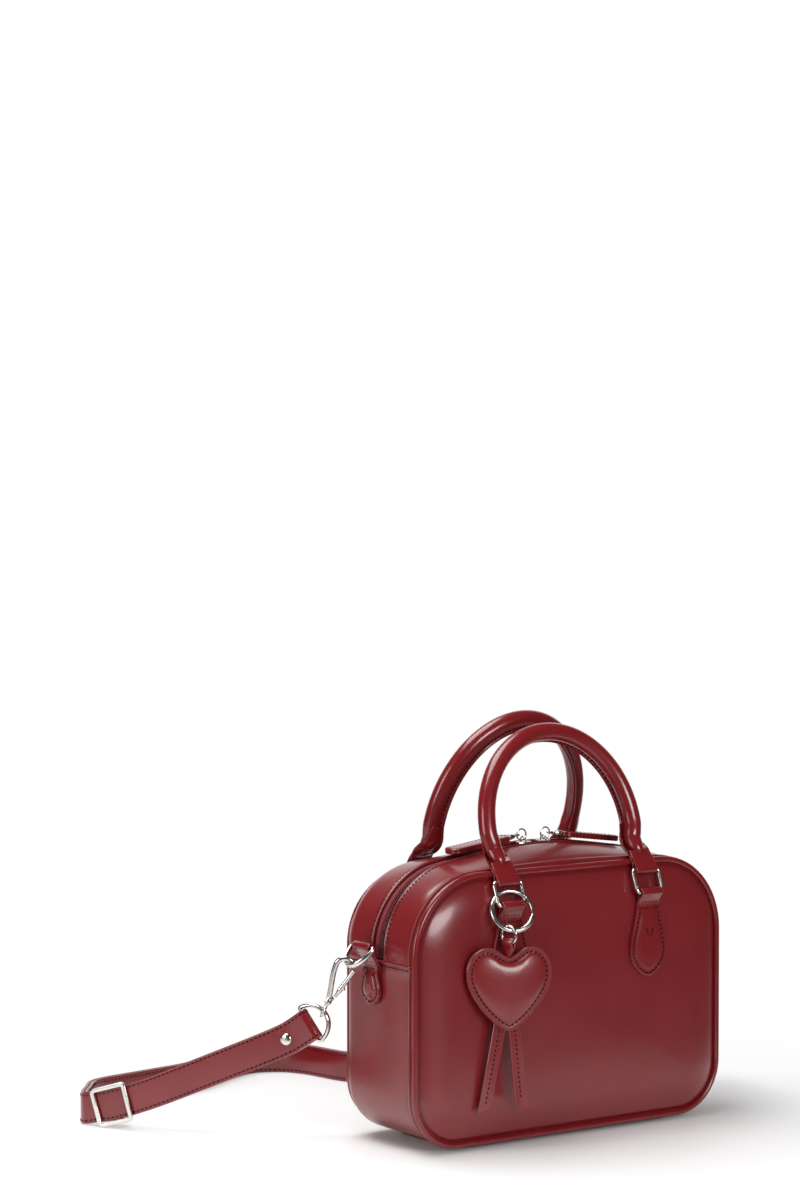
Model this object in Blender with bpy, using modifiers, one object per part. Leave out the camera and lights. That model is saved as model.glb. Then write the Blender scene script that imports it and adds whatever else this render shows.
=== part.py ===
"""A small top handle bag in smooth leather: a boxy zipped body with piped edges, two tube handles on
rectangular rings, a heart charm on a spring gate ring, and a flat shoulder strap that is clipped to both
sides and lies on its edge behind the bag.

Metres, +Z up, +X to the bag's right, the front faces -Y. The origin is on the floor under the middle of
the base.
"""

import math

import bmesh
import bpy
from mathutils import Matrix, Vector

# Bag body: width, height and depth are taken on the centre line of the piping
BODY_WIDTH = 0.2405
BODY_HEIGHT = 0.165
BODY_DEPTH = 0.0781
TOP_CORNER = 0.048
BOTTOM_CORNER = 0.032
BASE_LIFT = 0.004
ZIP_END_HEIGHT = 0.1165
TOP_RISE = 0.013
CROWN = 0.006
CROWN_REACH = 0.024
CROWN_STEP_SHARES = (0.0, 0.13, 0.31, 0.59, 1.0)
PIPING_RADIUS = 0.002
SKIN = 0.0016
GAP = 0.0003
CORNER_STEPS = 6
TOP_STEPS = 10

# Base, lining and hidden boards
BASE_END_MARGIN = 0.00225
BASE_SIDE_MARGIN = 0.00605
BASE_CORNER = 0.012
BOARD = 0.0012
LINING = 0.0006
LINING_GAP = 0.0008
LINING_ROW_SHARES = (0.2, 0.72)
POCKET_WIDTH = 0.12
POCKET_HEIGHT = 0.085
POCKET_CORNER = 0.01
POCKET_RISE = 0.035
POCKET_THICKNESS = 0.0008

# Zip
ZIP_SLOT = 0.006
GUSSET_ROW_SHARES = (1.0, 0.72, 0.42, 0.2, 0.0)
TAPE = 0.0007
TAPE_HIDDEN = 0.003
TEETH_HALF = 0.00225
TEETH_THICKNESS = 0.0018
ZIP_ARC = 0.32
SLIDER_PLACE = 0.008
SLIDER_LENGTH = 0.0095
SLIDER_PLATE = 0.0012
SLIDER_WALL = 0.00115
SLIDER_SIDE_GAP = 0.0004
ARCH_WIRE = 0.0006
ARCH_HEIGHT = 0.0028
ARCH_HALF = 0.0026
LINK_RADIUS = 0.0036
LINK_WIRE = 0.00055
LINK_ANGLE = math.radians(50)
LINK_PLAY = 0.00025
EYE_RADIUS = 0.0017
EYE_WIRE = 0.0006
CLAMP_LENGTH = 0.006
CLAMP_WIDTH = 0.0062
CLAMP_HEIGHT = 0.0034
TAB_LENGTH = 0.046
TAB_WIDTH = 0.0135
TAB_THICKNESS = 0.0036
TAB_SLOPE = math.radians(6)

# Handle rings and the leaf tabs that hold them
HANDLE_SPREAD_SHARE = 0.2287
RING_WIRE = 0.0013
RING_WIDTH = 0.0206
RING_HEIGHT = 0.015
RING_CORNER = 0.0022
RING_STANDOFF = 0.00575
RING_DROP = 0.0184
RING_LEANS = {"front": math.radians(22), "back": math.radians(8)}
BORE_GAP = 0.00025
STRAP_LAYER = 0.0012
LEAF_THICKNESS = 0.003
LEAF_WIDTH = 0.0285
LEAF_HEIGHT = 0.054
LEAF_NECK = 0.017
LEAF_TOP = 0.0085
LEAF_SHARES = (
    (0.30, 0.00), (0.335, 0.12), (0.405, 0.30), (0.470, 0.46), (0.500, 0.58),
    (0.485, 0.70), (0.410, 0.82), (0.270, 0.92), (0.110, 0.985), (0.0, 1.0),
)

# Handles: a flat tab curves in over the piping from each ring, and the tube rises from it to an arch
HANDLE_TAB_REACH = 0.013
HANDLE_TAB_RISE = 0.017
HANDLE_TAB_SHARES = ((0.0, 0.0), (0.2, 0.35), (0.53, 0.65), (1.0, 1.0))
HANDLE_TAB_LAP = 0.012
HANDLE_TAB_THICKNESS = 0.0026
HANDLE_LEANS = {"front": math.radians(15.5), "back": math.radians(19)}
HANDLE_ARCH_SHARES = {"front": 1.0418, "back": 1.0236}
HANDLE_ARCH_RISES = {"front": 0.061, "back": 0.0685}
HANDLE_LEG = 0.0125
HANDLE_RADIUS = 0.00575
HANDLE_STEPS = 18
HANDLE_END_SHARES = (0.45, 0.84)

# Side tabs and side D-rings
SIDE_LEAF_WIDTH = 0.0195
SIDE_LEAF_HEIGHT = 0.024
SIDE_LEAF_TOP = 0.0045
SIDE_STANDOFF = 0.0077
SIDE_BACK = 0.005
SIDE_BAR_RISE = 0.008
SIDE_LOOP_DROP = 0.0135
D_WIRE = 0.0014
D_HALF = 0.0115
D_DEPTH = 0.0148
D_DROOP = math.radians(47)
D_STEPS = 10

# Snap hooks: turn is the plan angle from straight back, pitch the lean from upright, roll the twist on
# the swivel, and grip the place round the D-ring
HOOK_TURN = math.radians(32.2)
HOOK_PITCH = math.radians(27.6)
HOOK_ROLL = math.radians(22)
HOOK_GRIP = math.radians(75)
HOOK_REACH = 0.034
HOOK_SHIFT = 0.0005
HOOK_WIRE = 0.0015
HOOK_TOP = 0.0315
HOOK_TOP_RADIUS = 0.0058
HOOK_NOSE_TURN = math.radians(-64)
HOOK_ARM_SHARES = ((0.0, 0.0), (0.36, 0.42), (0.74, 0.86))
COLLAR_START = 0.0057
COLLAR_LENGTH = 0.0042
COLLAR_RADIUS = 0.0022
TRIGGER_START = 0.0115
TRIGGER_SIDE = 0.0021
TRIGGER_END = 0.0305
TRIGGER_END_SIDE = 0.0054
TRIGGER_RADIUS = 0.0012
SWIVEL_RADIUS = 0.0033
SWIVEL_WIRE = 0.001
SWIVEL_POST = 0.0011

# Shoulder strap
STRAP_WIDTH = 0.02
STRAP_THICKNESS = 0.0022
STRAP_SPLIT = 0.0013
STRAP_BLEND = 0.015
STRAP_TAIL = 0.03
STRAP_STEPS = 3
WRAP_STEPS = 5
STRAP_RING_WIRE = 0.0014
STRAP_RING_HALF = 0.0121
STRAP_RING_DEPTH = 0.0137
STRAP_RING_GRIP = math.radians(11)
RUN_LENGTH = 0.15
RUN_HEIGHT = 0.063
RUN_SHARES = (
    (0.0, 0.0), (0.05, 0.082), (0.108, 0.163), (0.234, 0.30), (0.51, 0.581), (0.728, 0.798),
    (0.907, 0.946), (1.0, 0.99),
)
RISE_SHARES = ((0.108, 0.163), (0.05, 0.082), (0.0, 0.0))
LAY_SHARES = (
    (-0.0069, 1.059, 0), (0.0213, 1.1547, 0), (0.0665, 1.2696, 0), (0.1713, 1.3206, 0),
    (0.2836, 1.3748, 0), (0.3828, 1.5056, 0), (0.4531, 1.5758, 0), (0.5051, 1.5311, 0),
    (0.534, 1.4163, 0), (0.5522, 1.1994, 0), (0.5886, 1.059, 0), (0.6419, 0.9984, 0),
    (0.7216, 0.9665, 0), (0.8258, 0.8932, 0.04), (0.9174, 0.7783, 0.22), (0.9958, 0.5869, 0.5),
    (1.0335, 0.37, 0.76),
)
RIVET_PLACE = 0.0165
RIVET_HEAD = 0.0037
RIVET_HEAD_THICKNESS = 0.001
RIVET_POST = 0.001
RIVET_HOLE = 0.0013
STRAP_SLIDER_POINT = 6
SLIDER_FRAME_LENGTH = 0.023
SLIDER_FRAME_HALF = 0.0114
SLIDER_FRAME_WIRE = 0.001
SLIDER_TAIL = 0.01
SLIDER_GAP = 0.0008

# Charm: gate ring, jump ring, hanger, heart and tails
CHARM_TURN = math.radians(-18)
CHARM_LEAN = math.radians(28)
GATE_RING_RADIUS = 0.0133
GATE_RING_WIRE = 0.0012
GATE_RING_SIDE = 0.002
GATE_RING_OUT = 0.0023
GATE_RING_DROP = 0.0031
GATE_START = math.radians(-21)
GATE_END = math.radians(44)
GATE_SPLIT = math.radians(1.6)
GATE_FREE_SPLIT = math.radians(4)
GATE_RING_STEPS = 26
CHARM_HANG = math.radians(18)
JUMP_PLAY = 0.0009
JUMP_TURN = math.radians(-55)
JUMP_RADIUS = 0.0054
JUMP_WIRE = 0.00065
HANGER_WIDTH = 0.0078
HANGER_LAYER = 0.0011
HANGER_LENGTH = 0.0088
HANGER_FOLD = 0.0042
HANGER_TIP = 0.0016
HANGER_SEAT = 0.001
HANGER_PLAY = 0.0005
HEART_WIDTH = 0.055
HEART_HEIGHT = 0.052
HEART_RIM = 0.0015
HEART_CROWN = 0.0057
HEART_NOTCH_SHARE = 0.135
HEART_MIDDLE_SHARE = 0.44
HEART_SHARES = (
    (0.0, -0.135), (0.06, -0.098), (0.13, -0.05), (0.19, -0.014), (0.256, 0.0), (0.33, -0.015),
    (0.405, -0.066), (0.46, -0.14), (0.493, -0.22), (0.5, -0.31), (0.487, -0.42), (0.437, -0.55),
    (0.366, -0.67), (0.274, -0.79), (0.155, -0.91), (0.06, -0.975), (0.0, -1.0),
)
HEART_RING_SHARES = ((1.0, 0.0), (0.88, 0.08), (0.66, 0.72), (0.34, 1.0))
TAIL_WIDTH = 0.0078
TAIL_LENGTHS = {"left": 0.054, "right": 0.0505}
TAIL_THICKNESS = 0.0014
TAIL_SLANT = 0.0019
TAIL_TOP_RISE = 0.004
TAIL_SEAT = 0.0009
TAIL_SPREADS = {"left": math.radians(11), "right": math.radians(-5.5)}
TAIL_OFFSETS = {"left": -0.0047, "right": 0.0044}

HALF_WIDTH = BODY_WIDTH / 2
HALF_DEPTH = BODY_DEPTH / 2
TOP_LINE = BASE_LIFT + BODY_HEIGHT
HANDLE_HALF = BODY_WIDTH * HANDLE_SPREAD_SHARE
SEAM = PIPING_RADIUS + GAP
BASE_LENGTH = BODY_WIDTH - 2 * (BOTTOM_CORNER + BASE_END_MARGIN)
BASE_WIDTH = BODY_DEPTH - 2 * BASE_SIDE_MARGIN
LOOP_BORE = RING_WIRE + BORE_GAP
LOOP_RADIUS = LOOP_BORE + STRAP_LAYER
SIDES = {"left": -1, "right": 1}
FACES = {"front": -1, "back": 1}
UP = Vector((0, 0, 1))
RIGHT = Vector((1, 0, 0))
BACK = Vector((0, 1, 0))

# Colour, metallic and roughness of each material
FINISHES = {
    "leather": ((0.205, 0.014, 0.017), 0.0, 0.28),
    "piping_leather": ((0.215, 0.018, 0.02), 0.0, 0.24),
    "nickel": ((0.78, 0.76, 0.73), 1.0, 0.16),
    "zip_tape": ((0.11, 0.012, 0.018), 0.0, 0.75),
    "lining_cloth": ((0.09, 0.012, 0.016), 0.0, 0.85),
    "board": ((0.32, 0.27, 0.21), 0.0, 0.9),
}


def clear_scene():
    """Remove what the scene holds."""
    for obj in list(bpy.data.objects):
        bpy.data.objects.remove(obj)


def make_material(name):
    """A Principled material of one finish."""
    colour, metallic, roughness = FINISHES[name]
    material = bpy.data.materials.new(name)
    material.use_nodes = True
    shader = material.node_tree.nodes["Principled BSDF"]
    shader.inputs["Base Color"].default_value = (*colour, 1)
    shader.inputs["Metallic"].default_value = metallic
    shader.inputs["Roughness"].default_value = roughness
    return material


def new_object(name, data):
    """An object in the bag's collection."""
    obj = bpy.data.objects.new(name, data)
    bpy.data.collections["top_handle_bag"].objects.link(obj)
    return obj


def finish(obj, name, finish_name, pivot=None):
    """Name a finished piece, give it its own material and put its origin on its joint axis."""
    obj.name = name
    material = make_material(finish_name)
    material.name = name + "_" + finish_name
    obj.data.materials.clear()
    obj.data.materials.append(material)
    if obj.type == "MESH":
        obj.data.shade_smooth()
        obj.data.set_sharp_from_angle(angle=math.radians(38))
    if pivot is not None:
        obj.data.transform(Matrix.Translation(-pivot))
        obj.location = pivot
    return obj


def axes_matrix(origin, x_axis, y_axis):
    """The matrix that puts local X and Y along two directions, with Z square to both."""
    x_axis = x_axis.normalized()
    z_axis = x_axis.cross(y_axis).normalized()
    y_axis = z_axis.cross(x_axis)
    matrix = Matrix((x_axis, y_axis, z_axis)).transposed().to_4x4()
    matrix.translation = origin
    return matrix


def mesh_of(obj):
    """Turn a curve or a piece with modifiers into a plain mesh with its seams welded."""
    bpy.context.view_layer.update()
    graph = bpy.context.evaluated_depsgraph_get()
    mesh = bpy.data.meshes.new_from_object(obj.evaluated_get(graph))
    mesh.transform(obj.matrix_world)
    bpy.data.objects.remove(obj)
    bm = bmesh.new()
    bm.from_mesh(mesh)
    bmesh.ops.remove_doubles(bm, verts=bm.verts, dist=1e-6)
    bm.to_mesh(mesh)
    bm.free()
    return new_object("mesh", mesh)


def joined(pieces, operation="UNION"):
    """The Boolean of the first mesh with each of the others."""
    base = pieces[0]
    for other in pieces[1:]:
        modifier = base.modifiers.new("join", "BOOLEAN")
        modifier.operation = operation
        modifier.solver = "EXACT"
        modifier.object = other
    result = mesh_of(base)
    for other in pieces[1:]:
        bpy.data.objects.remove(other)
    return result


def tube(points, radius, cyclic=False, resolution=2, radii=None):
    """A round tube along points."""
    curve = bpy.data.curves.new("tube", "CURVE")
    curve.dimensions = "3D"
    curve.bevel_depth = radius
    curve.bevel_resolution = resolution
    curve.use_fill_caps = True
    spline = curve.splines.new("POLY")
    spline.points.add(len(points) - 1)
    for index, point in enumerate(points):
        spline.points[index].co = (*point, 1)
        if radii is not None:
            spline.points[index].radius = radii[index]
    spline.use_cyclic_u = cyclic
    return new_object("tube", curve)


def plate(outlines, thickness, matrix):
    """A flat outline, with holes after the first, given its thickness and put in place by a matrix."""
    curve = bpy.data.curves.new("plate", "CURVE")
    curve.dimensions = "2D"
    curve.fill_mode = "BOTH"
    curve.extrude = thickness / 2
    for outline in outlines:
        spline = curve.splines.new("POLY")
        spline.points.add(len(outline) - 1)
        for index, (x, y) in enumerate(outline):
            spline.points[index].co = (x, y, 0, 1)
        spline.use_cyclic_u = True
    obj = mesh_of(new_object("plate", curve))
    obj.data.transform(matrix)
    return obj


def rod(start, end, radius, segments=12):
    """A round bar between two points."""
    bm = bmesh.new()
    line = end - start
    bmesh.ops.create_cone(
        bm, cap_ends=True, segments=segments, radius1=radius, radius2=radius, depth=line.length
    )
    mesh = bpy.data.meshes.new("rod")
    bm.to_mesh(mesh)
    bm.free()
    turn = UP.rotation_difference(line.normalized()).to_matrix().to_4x4()
    mesh.transform(Matrix.Translation((start + end) / 2) @ turn)
    return new_object("rod", mesh)


def block(size, matrix):
    """A box of a size, centred on its matrix."""
    bm = bmesh.new()
    bmesh.ops.create_cube(bm, size=1)
    bmesh.ops.scale(bm, verts=bm.verts, vec=size)
    mesh = bpy.data.meshes.new("block")
    bm.to_mesh(mesh)
    bm.free()
    mesh.transform(matrix)
    return new_object("block", mesh)


def turned(profile, matrix, steps=16):
    """A turned solid from a profile of (radius, height) that runs from its top to its bottom."""
    mesh = bpy.data.meshes.new("turned")
    points = [(radius, 0, height) for radius, height in profile]
    mesh.from_pydata(points, [(index, index + 1) for index in range(len(points) - 1)], [])
    obj = new_object("turned", mesh)
    screw = obj.modifiers.new("turn", "SCREW")
    screw.steps = screw.render_steps = steps
    screw.use_merge_vertices = True
    screw.merge_threshold = 1e-5
    obj = mesh_of(obj)
    obj.data.transform(matrix)
    return obj


def sheet(rows, thickness, closed=False, caps=(), keep=None):
    """A sheet through rows of points with its thickness half to each side. A closed sheet's rows are
    loops, caps names the rows that a flat face fills, and keep drops faces whose middle it refuses."""
    bm = bmesh.new()
    grid = [[bm.verts.new(point) for point in row] for row in rows]
    count = len(grid[0])
    for low, high in zip(grid, grid[1:]):
        for index in range(count if closed else count - 1):
            after = (index + 1) % count
            bm.faces.new((low[index], low[after], high[after], high[index]))
    for index in caps:
        bm.faces.new(grid[index])
    if keep is not None:
        dropped = [face for face in bm.faces if not keep(face.calc_center_median())]
        bmesh.ops.delete(bm, geom=dropped, context="FACES")
    bmesh.ops.recalc_face_normals(bm, faces=bm.faces)
    mesh = bpy.data.meshes.new("sheet")
    bm.to_mesh(mesh)
    bm.free()
    obj = new_object("sheet", mesh)
    solidify = obj.modifiers.new("thickness", "SOLIDIFY")
    solidify.thickness = thickness
    solidify.offset = 0
    solidify.use_even_offset = True
    return obj


def arc(centre, radius, start, end, steps, rise=None):
    """Points on an arc in a plane, as (x, y) pairs. A rise other than the radius makes it an oval."""
    rise = rise or radius
    angles = [start + (end - start) * step / steps for step in range(steps + 1)]
    return [(centre[0] + radius * math.cos(a), centre[1] + rise * math.sin(a)) for a in angles]


def rounded(width, height, corner, steps=4):
    """A rectangle with round corners about the middle, as (x, y) pairs."""
    points = []
    for quarter, (sx, sy) in enumerate(((1, -1), (1, 1), (-1, 1), (-1, -1))):
        centre = (sx * (width / 2 - corner), sy * (height / 2 - corner))
        start = math.radians(90) * (quarter - 1)
        points += arc(centre, corner, start, start + math.radians(90), steps)
    return points


def circle(centre, radius, steps=12, rise=None):
    """A closed circle or oval of (x, y) pairs."""
    return arc(centre, radius, 0, math.tau, steps, rise)[:-1]


def ring_points(centre, u_axis, v_axis, radius, start=0.0, end=math.tau, steps=16):
    """Points round a circle or an arc in space. A full circle leaves out its repeated end."""
    full = end - start > math.tau - GATE_SPLIT / 2
    points = []
    for step in range(steps if full else steps + 1):
        angle = start + (end - start) * step / steps
        points.append(centre + (u_axis * math.cos(angle) + v_axis * math.sin(angle)) * radius)
    return points


def d_points(centre, bar_axis, out_axis, half, depth):
    """Points round a D: a straight bar through the centre and a half ellipse that bows outwards."""
    points = []
    for step in range(D_STEPS + 1):
        angle = math.pi * step / D_STEPS
        points.append(centre + bar_axis * (half * math.cos(angle)) + out_axis * (depth * math.sin(angle)))
    return points


# Body


def corner_points(centre_x, centre_z, radius, start, inset):
    """Points on one round corner of the body outline, each as (x, z, outward x, outward z)."""
    points = []
    for step in range(CORNER_STEPS + 1):
        angle = math.radians(start + 90 * step / CORNER_STEPS)
        out_x, out_z = math.cos(angle), math.sin(angle)
        reach = radius - inset
        points.append((centre_x + out_x * reach, centre_z + out_z * reach, out_x, out_z))
    return points


def outline(inset=0.0):
    """The body outline as seen from the front, drawn in by an inset."""
    across_low, across_high = HALF_WIDTH - BOTTOM_CORNER, HALF_WIDTH - TOP_CORNER
    low, high = BASE_LIFT + BOTTOM_CORNER, TOP_LINE - TOP_CORNER
    points = corner_points(across_low, low, BOTTOM_CORNER, -90, inset)
    points += corner_points(across_high, high, TOP_CORNER, 0, inset)
    points += corner_points(-across_high, high, TOP_CORNER, 90, inset)
    points += corner_points(-across_low, low, BOTTOM_CORNER, 180, inset)
    return points


def side_point(height):
    """The right side of the outline at a height, on its straight side or in its top corner."""
    across, high = HALF_WIDTH - TOP_CORNER, TOP_LINE - TOP_CORNER
    angle = math.asin(max(0.0, height - high) / TOP_CORNER)
    return (across + TOP_CORNER * math.cos(angle), height, math.cos(angle), math.sin(angle))


def top_corner(low, high):
    """The right top corner's points between two heights."""
    points = corner_points(HALF_WIDTH - TOP_CORNER, TOP_LINE - TOP_CORNER, TOP_CORNER, 0, 0.0)
    return [point for point in points if low + GAP < point[1] < high - GAP]


def mirrored(path):
    """A run of the outline on the other side of the bag, in the other direction."""
    return [(-x, z, -out_x, out_z) for x, z, out_x, out_z in reversed(path)]


def upper_path():
    """The outline from the right zip end over the top to the left zip end."""
    across = HALF_WIDTH - TOP_CORNER
    side = [side_point(ZIP_END_HEIGHT), *top_corner(ZIP_END_HEIGHT, TOP_LINE)]
    path = side + [(across, TOP_LINE, 0, 1)]
    for step in range(1, TOP_STEPS + 1):
        path.append((across - 2 * across * step / TOP_STEPS, TOP_LINE, 0, 1))
    return path + mirrored(side)


def lower_path():
    """The outline from the left zip end under the base to the right zip end."""
    across, low = HALF_WIDTH - BOTTOM_CORNER, BASE_LIFT + BOTTOM_CORNER
    end = ZIP_END_HEIGHT - GAP
    side = corner_points(across, low, BOTTOM_CORNER, 270, 0.0)
    side += [*top_corner(low, end), side_point(end)]
    return mirrored(side) + side


def swell(point):
    """How far the gusset swells out at the middle of the depth."""
    x, z, out_x, out_z = point
    flat, high = HALF_WIDTH - TOP_CORNER, TOP_LINE - TOP_CORNER
    if z < ZIP_END_HEIGHT:
        return 0.0
    turn = math.atan2(abs(out_x), out_z)
    run = min(abs(x), flat) + TOP_CORNER * turn + max(0.0, high - z) * (out_z == 0)
    reach = flat + TOP_CORNER * math.pi / 2 + high - ZIP_END_HEIGHT
    return TOP_RISE * math.sin(math.pi / 2 * max(0.0, 1 - run / reach)) ** 3


def skin_point(point, y, inset):
    """A point of the gusset surface at a depth, drawn in by an inset."""
    x, z, out_x, out_z = point
    out = swell(point) * (1 - (y / HALF_DEPTH) ** 2) - inset
    return Vector((x + out_x * out, y, z + out_z * out))


def band(path, depths, inset, thickness):
    """A strip of the gusset between depths."""
    return sheet([[skin_point(point, y, inset) for point in path] for y in depths], thickness)


def make_panel(face):
    """The crowned front or back panel inside its piping."""
    sign = FACES[face]
    rows = []
    for share in CROWN_STEP_SHARES:
        inset = SEAM + (CROWN_REACH - SEAM) * share
        out = HALF_DEPTH + CROWN * (1 - (1 - share) ** 2)
        rows.append([Vector((x, sign * out, z)) for x, z, _, _ in outline(inset)])
    panel = sheet(rows, SKIN, closed=True, caps=(len(rows) - 1,))
    return finish(panel, face + "_panel", "leather")


def make_piping(face):
    """The round piping along the edge of one panel."""
    y = FACES[face] * HALF_DEPTH
    points = [Vector((x, y, z)) for x, z, _, _ in outline()]
    return finish(tube(points, PIPING_RADIUS, cyclic=True), face + "_piping", "piping_leather")


def gusset_depth(share):
    """How far a row of the gusset lies from the middle of the depth."""
    return ZIP_SLOT + (HALF_DEPTH - SEAM - ZIP_SLOT) * share


def make_gussets():
    """The two strips beside the zip and the band under them."""
    edge = HALF_DEPTH - SEAM
    inset = SKIN / 2
    for face, sign in FACES.items():
        depths = [sign * gusset_depth(share) for share in GUSSET_ROW_SHARES]
        finish(band(upper_path(), depths, inset, SKIN), "zip_gusset_" + face, "leather")
    depths = (-edge, -edge / 2, edge / 2, edge)
    finish(band(lower_path(), depths, inset, SKIN), "lower_gusset", "leather")


def make_zip():
    """The two tapes and the closed row of teeth between them."""
    inset = SKIN + GAP + TAPE / 2
    for face, sign in FACES.items():
        depths = [sign * (ZIP_SLOT + TAPE_HIDDEN), sign * (TEETH_HALF + GAP)]
        finish(band(upper_path(), depths, inset, TAPE), "zip_tape_" + face, "zip_tape")
    teeth = band(upper_path(), (-TEETH_HALF, TEETH_HALF), inset, TEETH_THICKNESS)
    finish(teeth, "zip_teeth", "zip_tape")


def make_base():
    """The base panel on the floor and the board inside above it."""
    thickness = BASE_LIFT - GAP
    flat = axes_matrix(Vector((0, 0, thickness / 2)), RIGHT, BACK)
    base = plate([rounded(BASE_LENGTH, BASE_WIDTH, BASE_CORNER)], thickness, flat)
    finish(base, "base_panel", "leather")
    level = BASE_LIFT + SKIN + GAP + BOARD / 2
    flat = axes_matrix(Vector((0, 0, level)), RIGHT, BACK)
    board = plate([rounded(BASE_LENGTH, BASE_WIDTH, BASE_CORNER)], BOARD, flat)
    finish(board, "base_board", "board")


def make_stiffeners():
    """The flat boards behind the front and back panels."""
    edge = [(x, z) for x, z, _, _ in outline(SEAM)]
    for face, sign in FACES.items():
        y = sign * (HALF_DEPTH - SKIN / 2 - GAP - BOARD / 2)
        matrix = axes_matrix(Vector((0, y, 0)), RIGHT, UP)
        finish(plate([edge], BOARD, matrix), face + "_stiffener", "board")


def lining_half_depth():
    """From the middle of the bag to the middle of the lining's front wall."""
    return HALF_DEPTH - SKIN / 2 - GAP - BOARD - GAP - LINING / 2


def make_lining():
    """The cloth pouch inside, open along the zip, and its pocket."""
    wall = lining_half_depth()
    inset = SKIN + LINING_GAP + LINING / 2
    seam = ZIP_END_HEIGHT - 2 * GAP
    end = [side_point(seam)]
    path = [*end, *upper_path()[1:-1], *mirrored(end), *lower_path()[1:-1]]
    slot, shoulder = (gusset_depth(share) for share in LINING_ROW_SHARES)
    rows = []
    for y in (-wall, -shoulder, -slot, slot, shoulder, wall):
        row = []
        for point in path:
            under = max(0.0, -point[3]) * (BOARD + GAP)
            row.append(skin_point(point, y, inset + under))
        rows.append(row)

    def outside_slot(middle):
        return middle.z < seam or abs(middle.y) > slot

    lining = sheet(rows, LINING, closed=True, caps=(0, len(rows) - 1), keep=outside_slot)
    finish(lining, "lining", "lining_cloth")
    y = wall - LINING / 2 - GAP - POCKET_THICKNESS / 2
    matrix = axes_matrix(Vector((0, y, POCKET_RISE + POCKET_HEIGHT / 2)), RIGHT, UP)
    pocket = plate([rounded(POCKET_WIDTH, POCKET_HEIGHT, POCKET_CORNER)], POCKET_THICKNESS, matrix)
    finish(pocket, "inner_pocket", "lining_cloth")


# Zip sliders and their pulls


def slider_matrix(sign):
    """A slider's place on the zip's top arc: X runs outwards along the zip, Z away from the bag."""
    turn = sign * SLIDER_PLACE / ZIP_ARC
    up = Vector((math.sin(turn), 0, math.cos(turn)))
    out = Vector((sign * math.cos(turn), 0, -sign * math.sin(turn)))
    face = TOP_LINE + TOP_RISE - SKIN - GAP - TAPE / 2 + TEETH_THICKNESS / 2 + GAP
    centre = Vector((0, 0, TOP_LINE + TOP_RISE - ZIP_ARC))
    origin = centre + up * (face - centre.z)
    return axes_matrix(origin, out, up.cross(out))


def zip_arc_centre():
    """The axis that both sliders turn about as they run along the top of the zip."""
    return Vector((0, 0, TOP_LINE + TOP_RISE - ZIP_ARC))


def make_slider(side):
    """The visible half of a zip slider: a plate over the teeth with two walls and an arch on top."""
    place = slider_matrix(SIDES[side])
    inner = TEETH_HALF + SLIDER_SIDE_GAP
    outer = inner + SLIDER_WALL
    lip = TEETH_THICKNESS / 2 - TAPE / 2
    half = [(outer, SLIDER_PLATE), (outer, -lip), (inner, -lip), (inner, 0)]
    section = half + [(-y, z) for y, z in reversed(half)]
    across, out = place.to_3x3().col[1], place.to_3x3().col[2]
    pieces = [plate([section], SLIDER_LENGTH, axes_matrix(place.translation, across, out))]
    top = SLIDER_PLATE + ARCH_HEIGHT
    foot = SLIDER_PLATE - ARCH_WIRE / 2
    bend = ARCH_WIRE * 2
    profile = ((-ARCH_HALF, foot), (-ARCH_HALF, top - bend), (bend - ARCH_HALF, top))
    profile += tuple((-y, z) for y, z in reversed(profile))
    points = [place @ Vector((0, y, z)) for y, z in profile]
    pieces.append(mesh_of(tube(points, ARCH_WIRE)))
    finish(joined(pieces), "zip_slider_" + side, "nickel", zip_arc_centre())


def arch_centre(side):
    """The middle of a slider's arch wire, which its pull turns about."""
    return slider_matrix(SIDES[side]) @ Vector((0, 0, SLIDER_PLATE + ARCH_HEIGHT))


def make_pull(side):
    """A zip pull: a round link through the arch, a metal clamp with an eye, and a leather tab."""
    place = slider_matrix(SIDES[side]).to_3x3()
    out, up = place.col[0], place.col[2]
    pivot = arch_centre(side)
    reach = LINK_RADIUS - LINK_WIRE - ARCH_WIRE - LINK_PLAY
    centre = pivot + (out * math.cos(LINK_ANGLE) + up * math.sin(LINK_ANGLE)) * reach
    link = tube(ring_points(centre, out, up, LINK_RADIUS), LINK_WIRE, cyclic=True)
    finish(link, "pull_link_" + side, "nickel", pivot)

    along = out * math.cos(TAB_SLOPE) - up * math.sin(TAB_SLOPE)
    play = EYE_RADIUS - EYE_WIRE - LINK_WIRE - LINK_PLAY
    eye_centre = centre + out * LINK_RADIUS + along * play
    eye = mesh_of(tube(ring_points(eye_centre, along, BACK, EYE_RADIUS, steps=12), EYE_WIRE, cyclic=True))
    clamp_start = eye_centre + along * EYE_RADIUS
    clamp_middle = clamp_start + along * (CLAMP_LENGTH / 2)
    size = (CLAMP_LENGTH, CLAMP_WIDTH, CLAMP_HEIGHT)
    clamp = joined([block(size, axes_matrix(clamp_middle, along, BACK)), eye])
    finish(clamp, "pull_clamp_" + side, "nickel", pivot)

    tab_start = clamp_start + along * (CLAMP_LENGTH + GAP)
    matrix = axes_matrix(tab_start + along * (TAB_LENGTH / 2), along, BACK)
    tab = plate([rounded(TAB_LENGTH, TAB_WIDTH, TAB_WIDTH / 3)], TAB_THICKNESS, matrix)
    finish(tab, "pull_tab_" + side, "leather", pivot)


# Handles, their rings and the leaf tabs


def loop_outline(bar, radius, first, last, end_low, end_high, rise=None):
    """A strap folded round a bar, seen from its edge: an arc over the bar and two end corners."""
    return arc(bar, radius, first, last, 10, rise) + [end_low, end_high]


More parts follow.
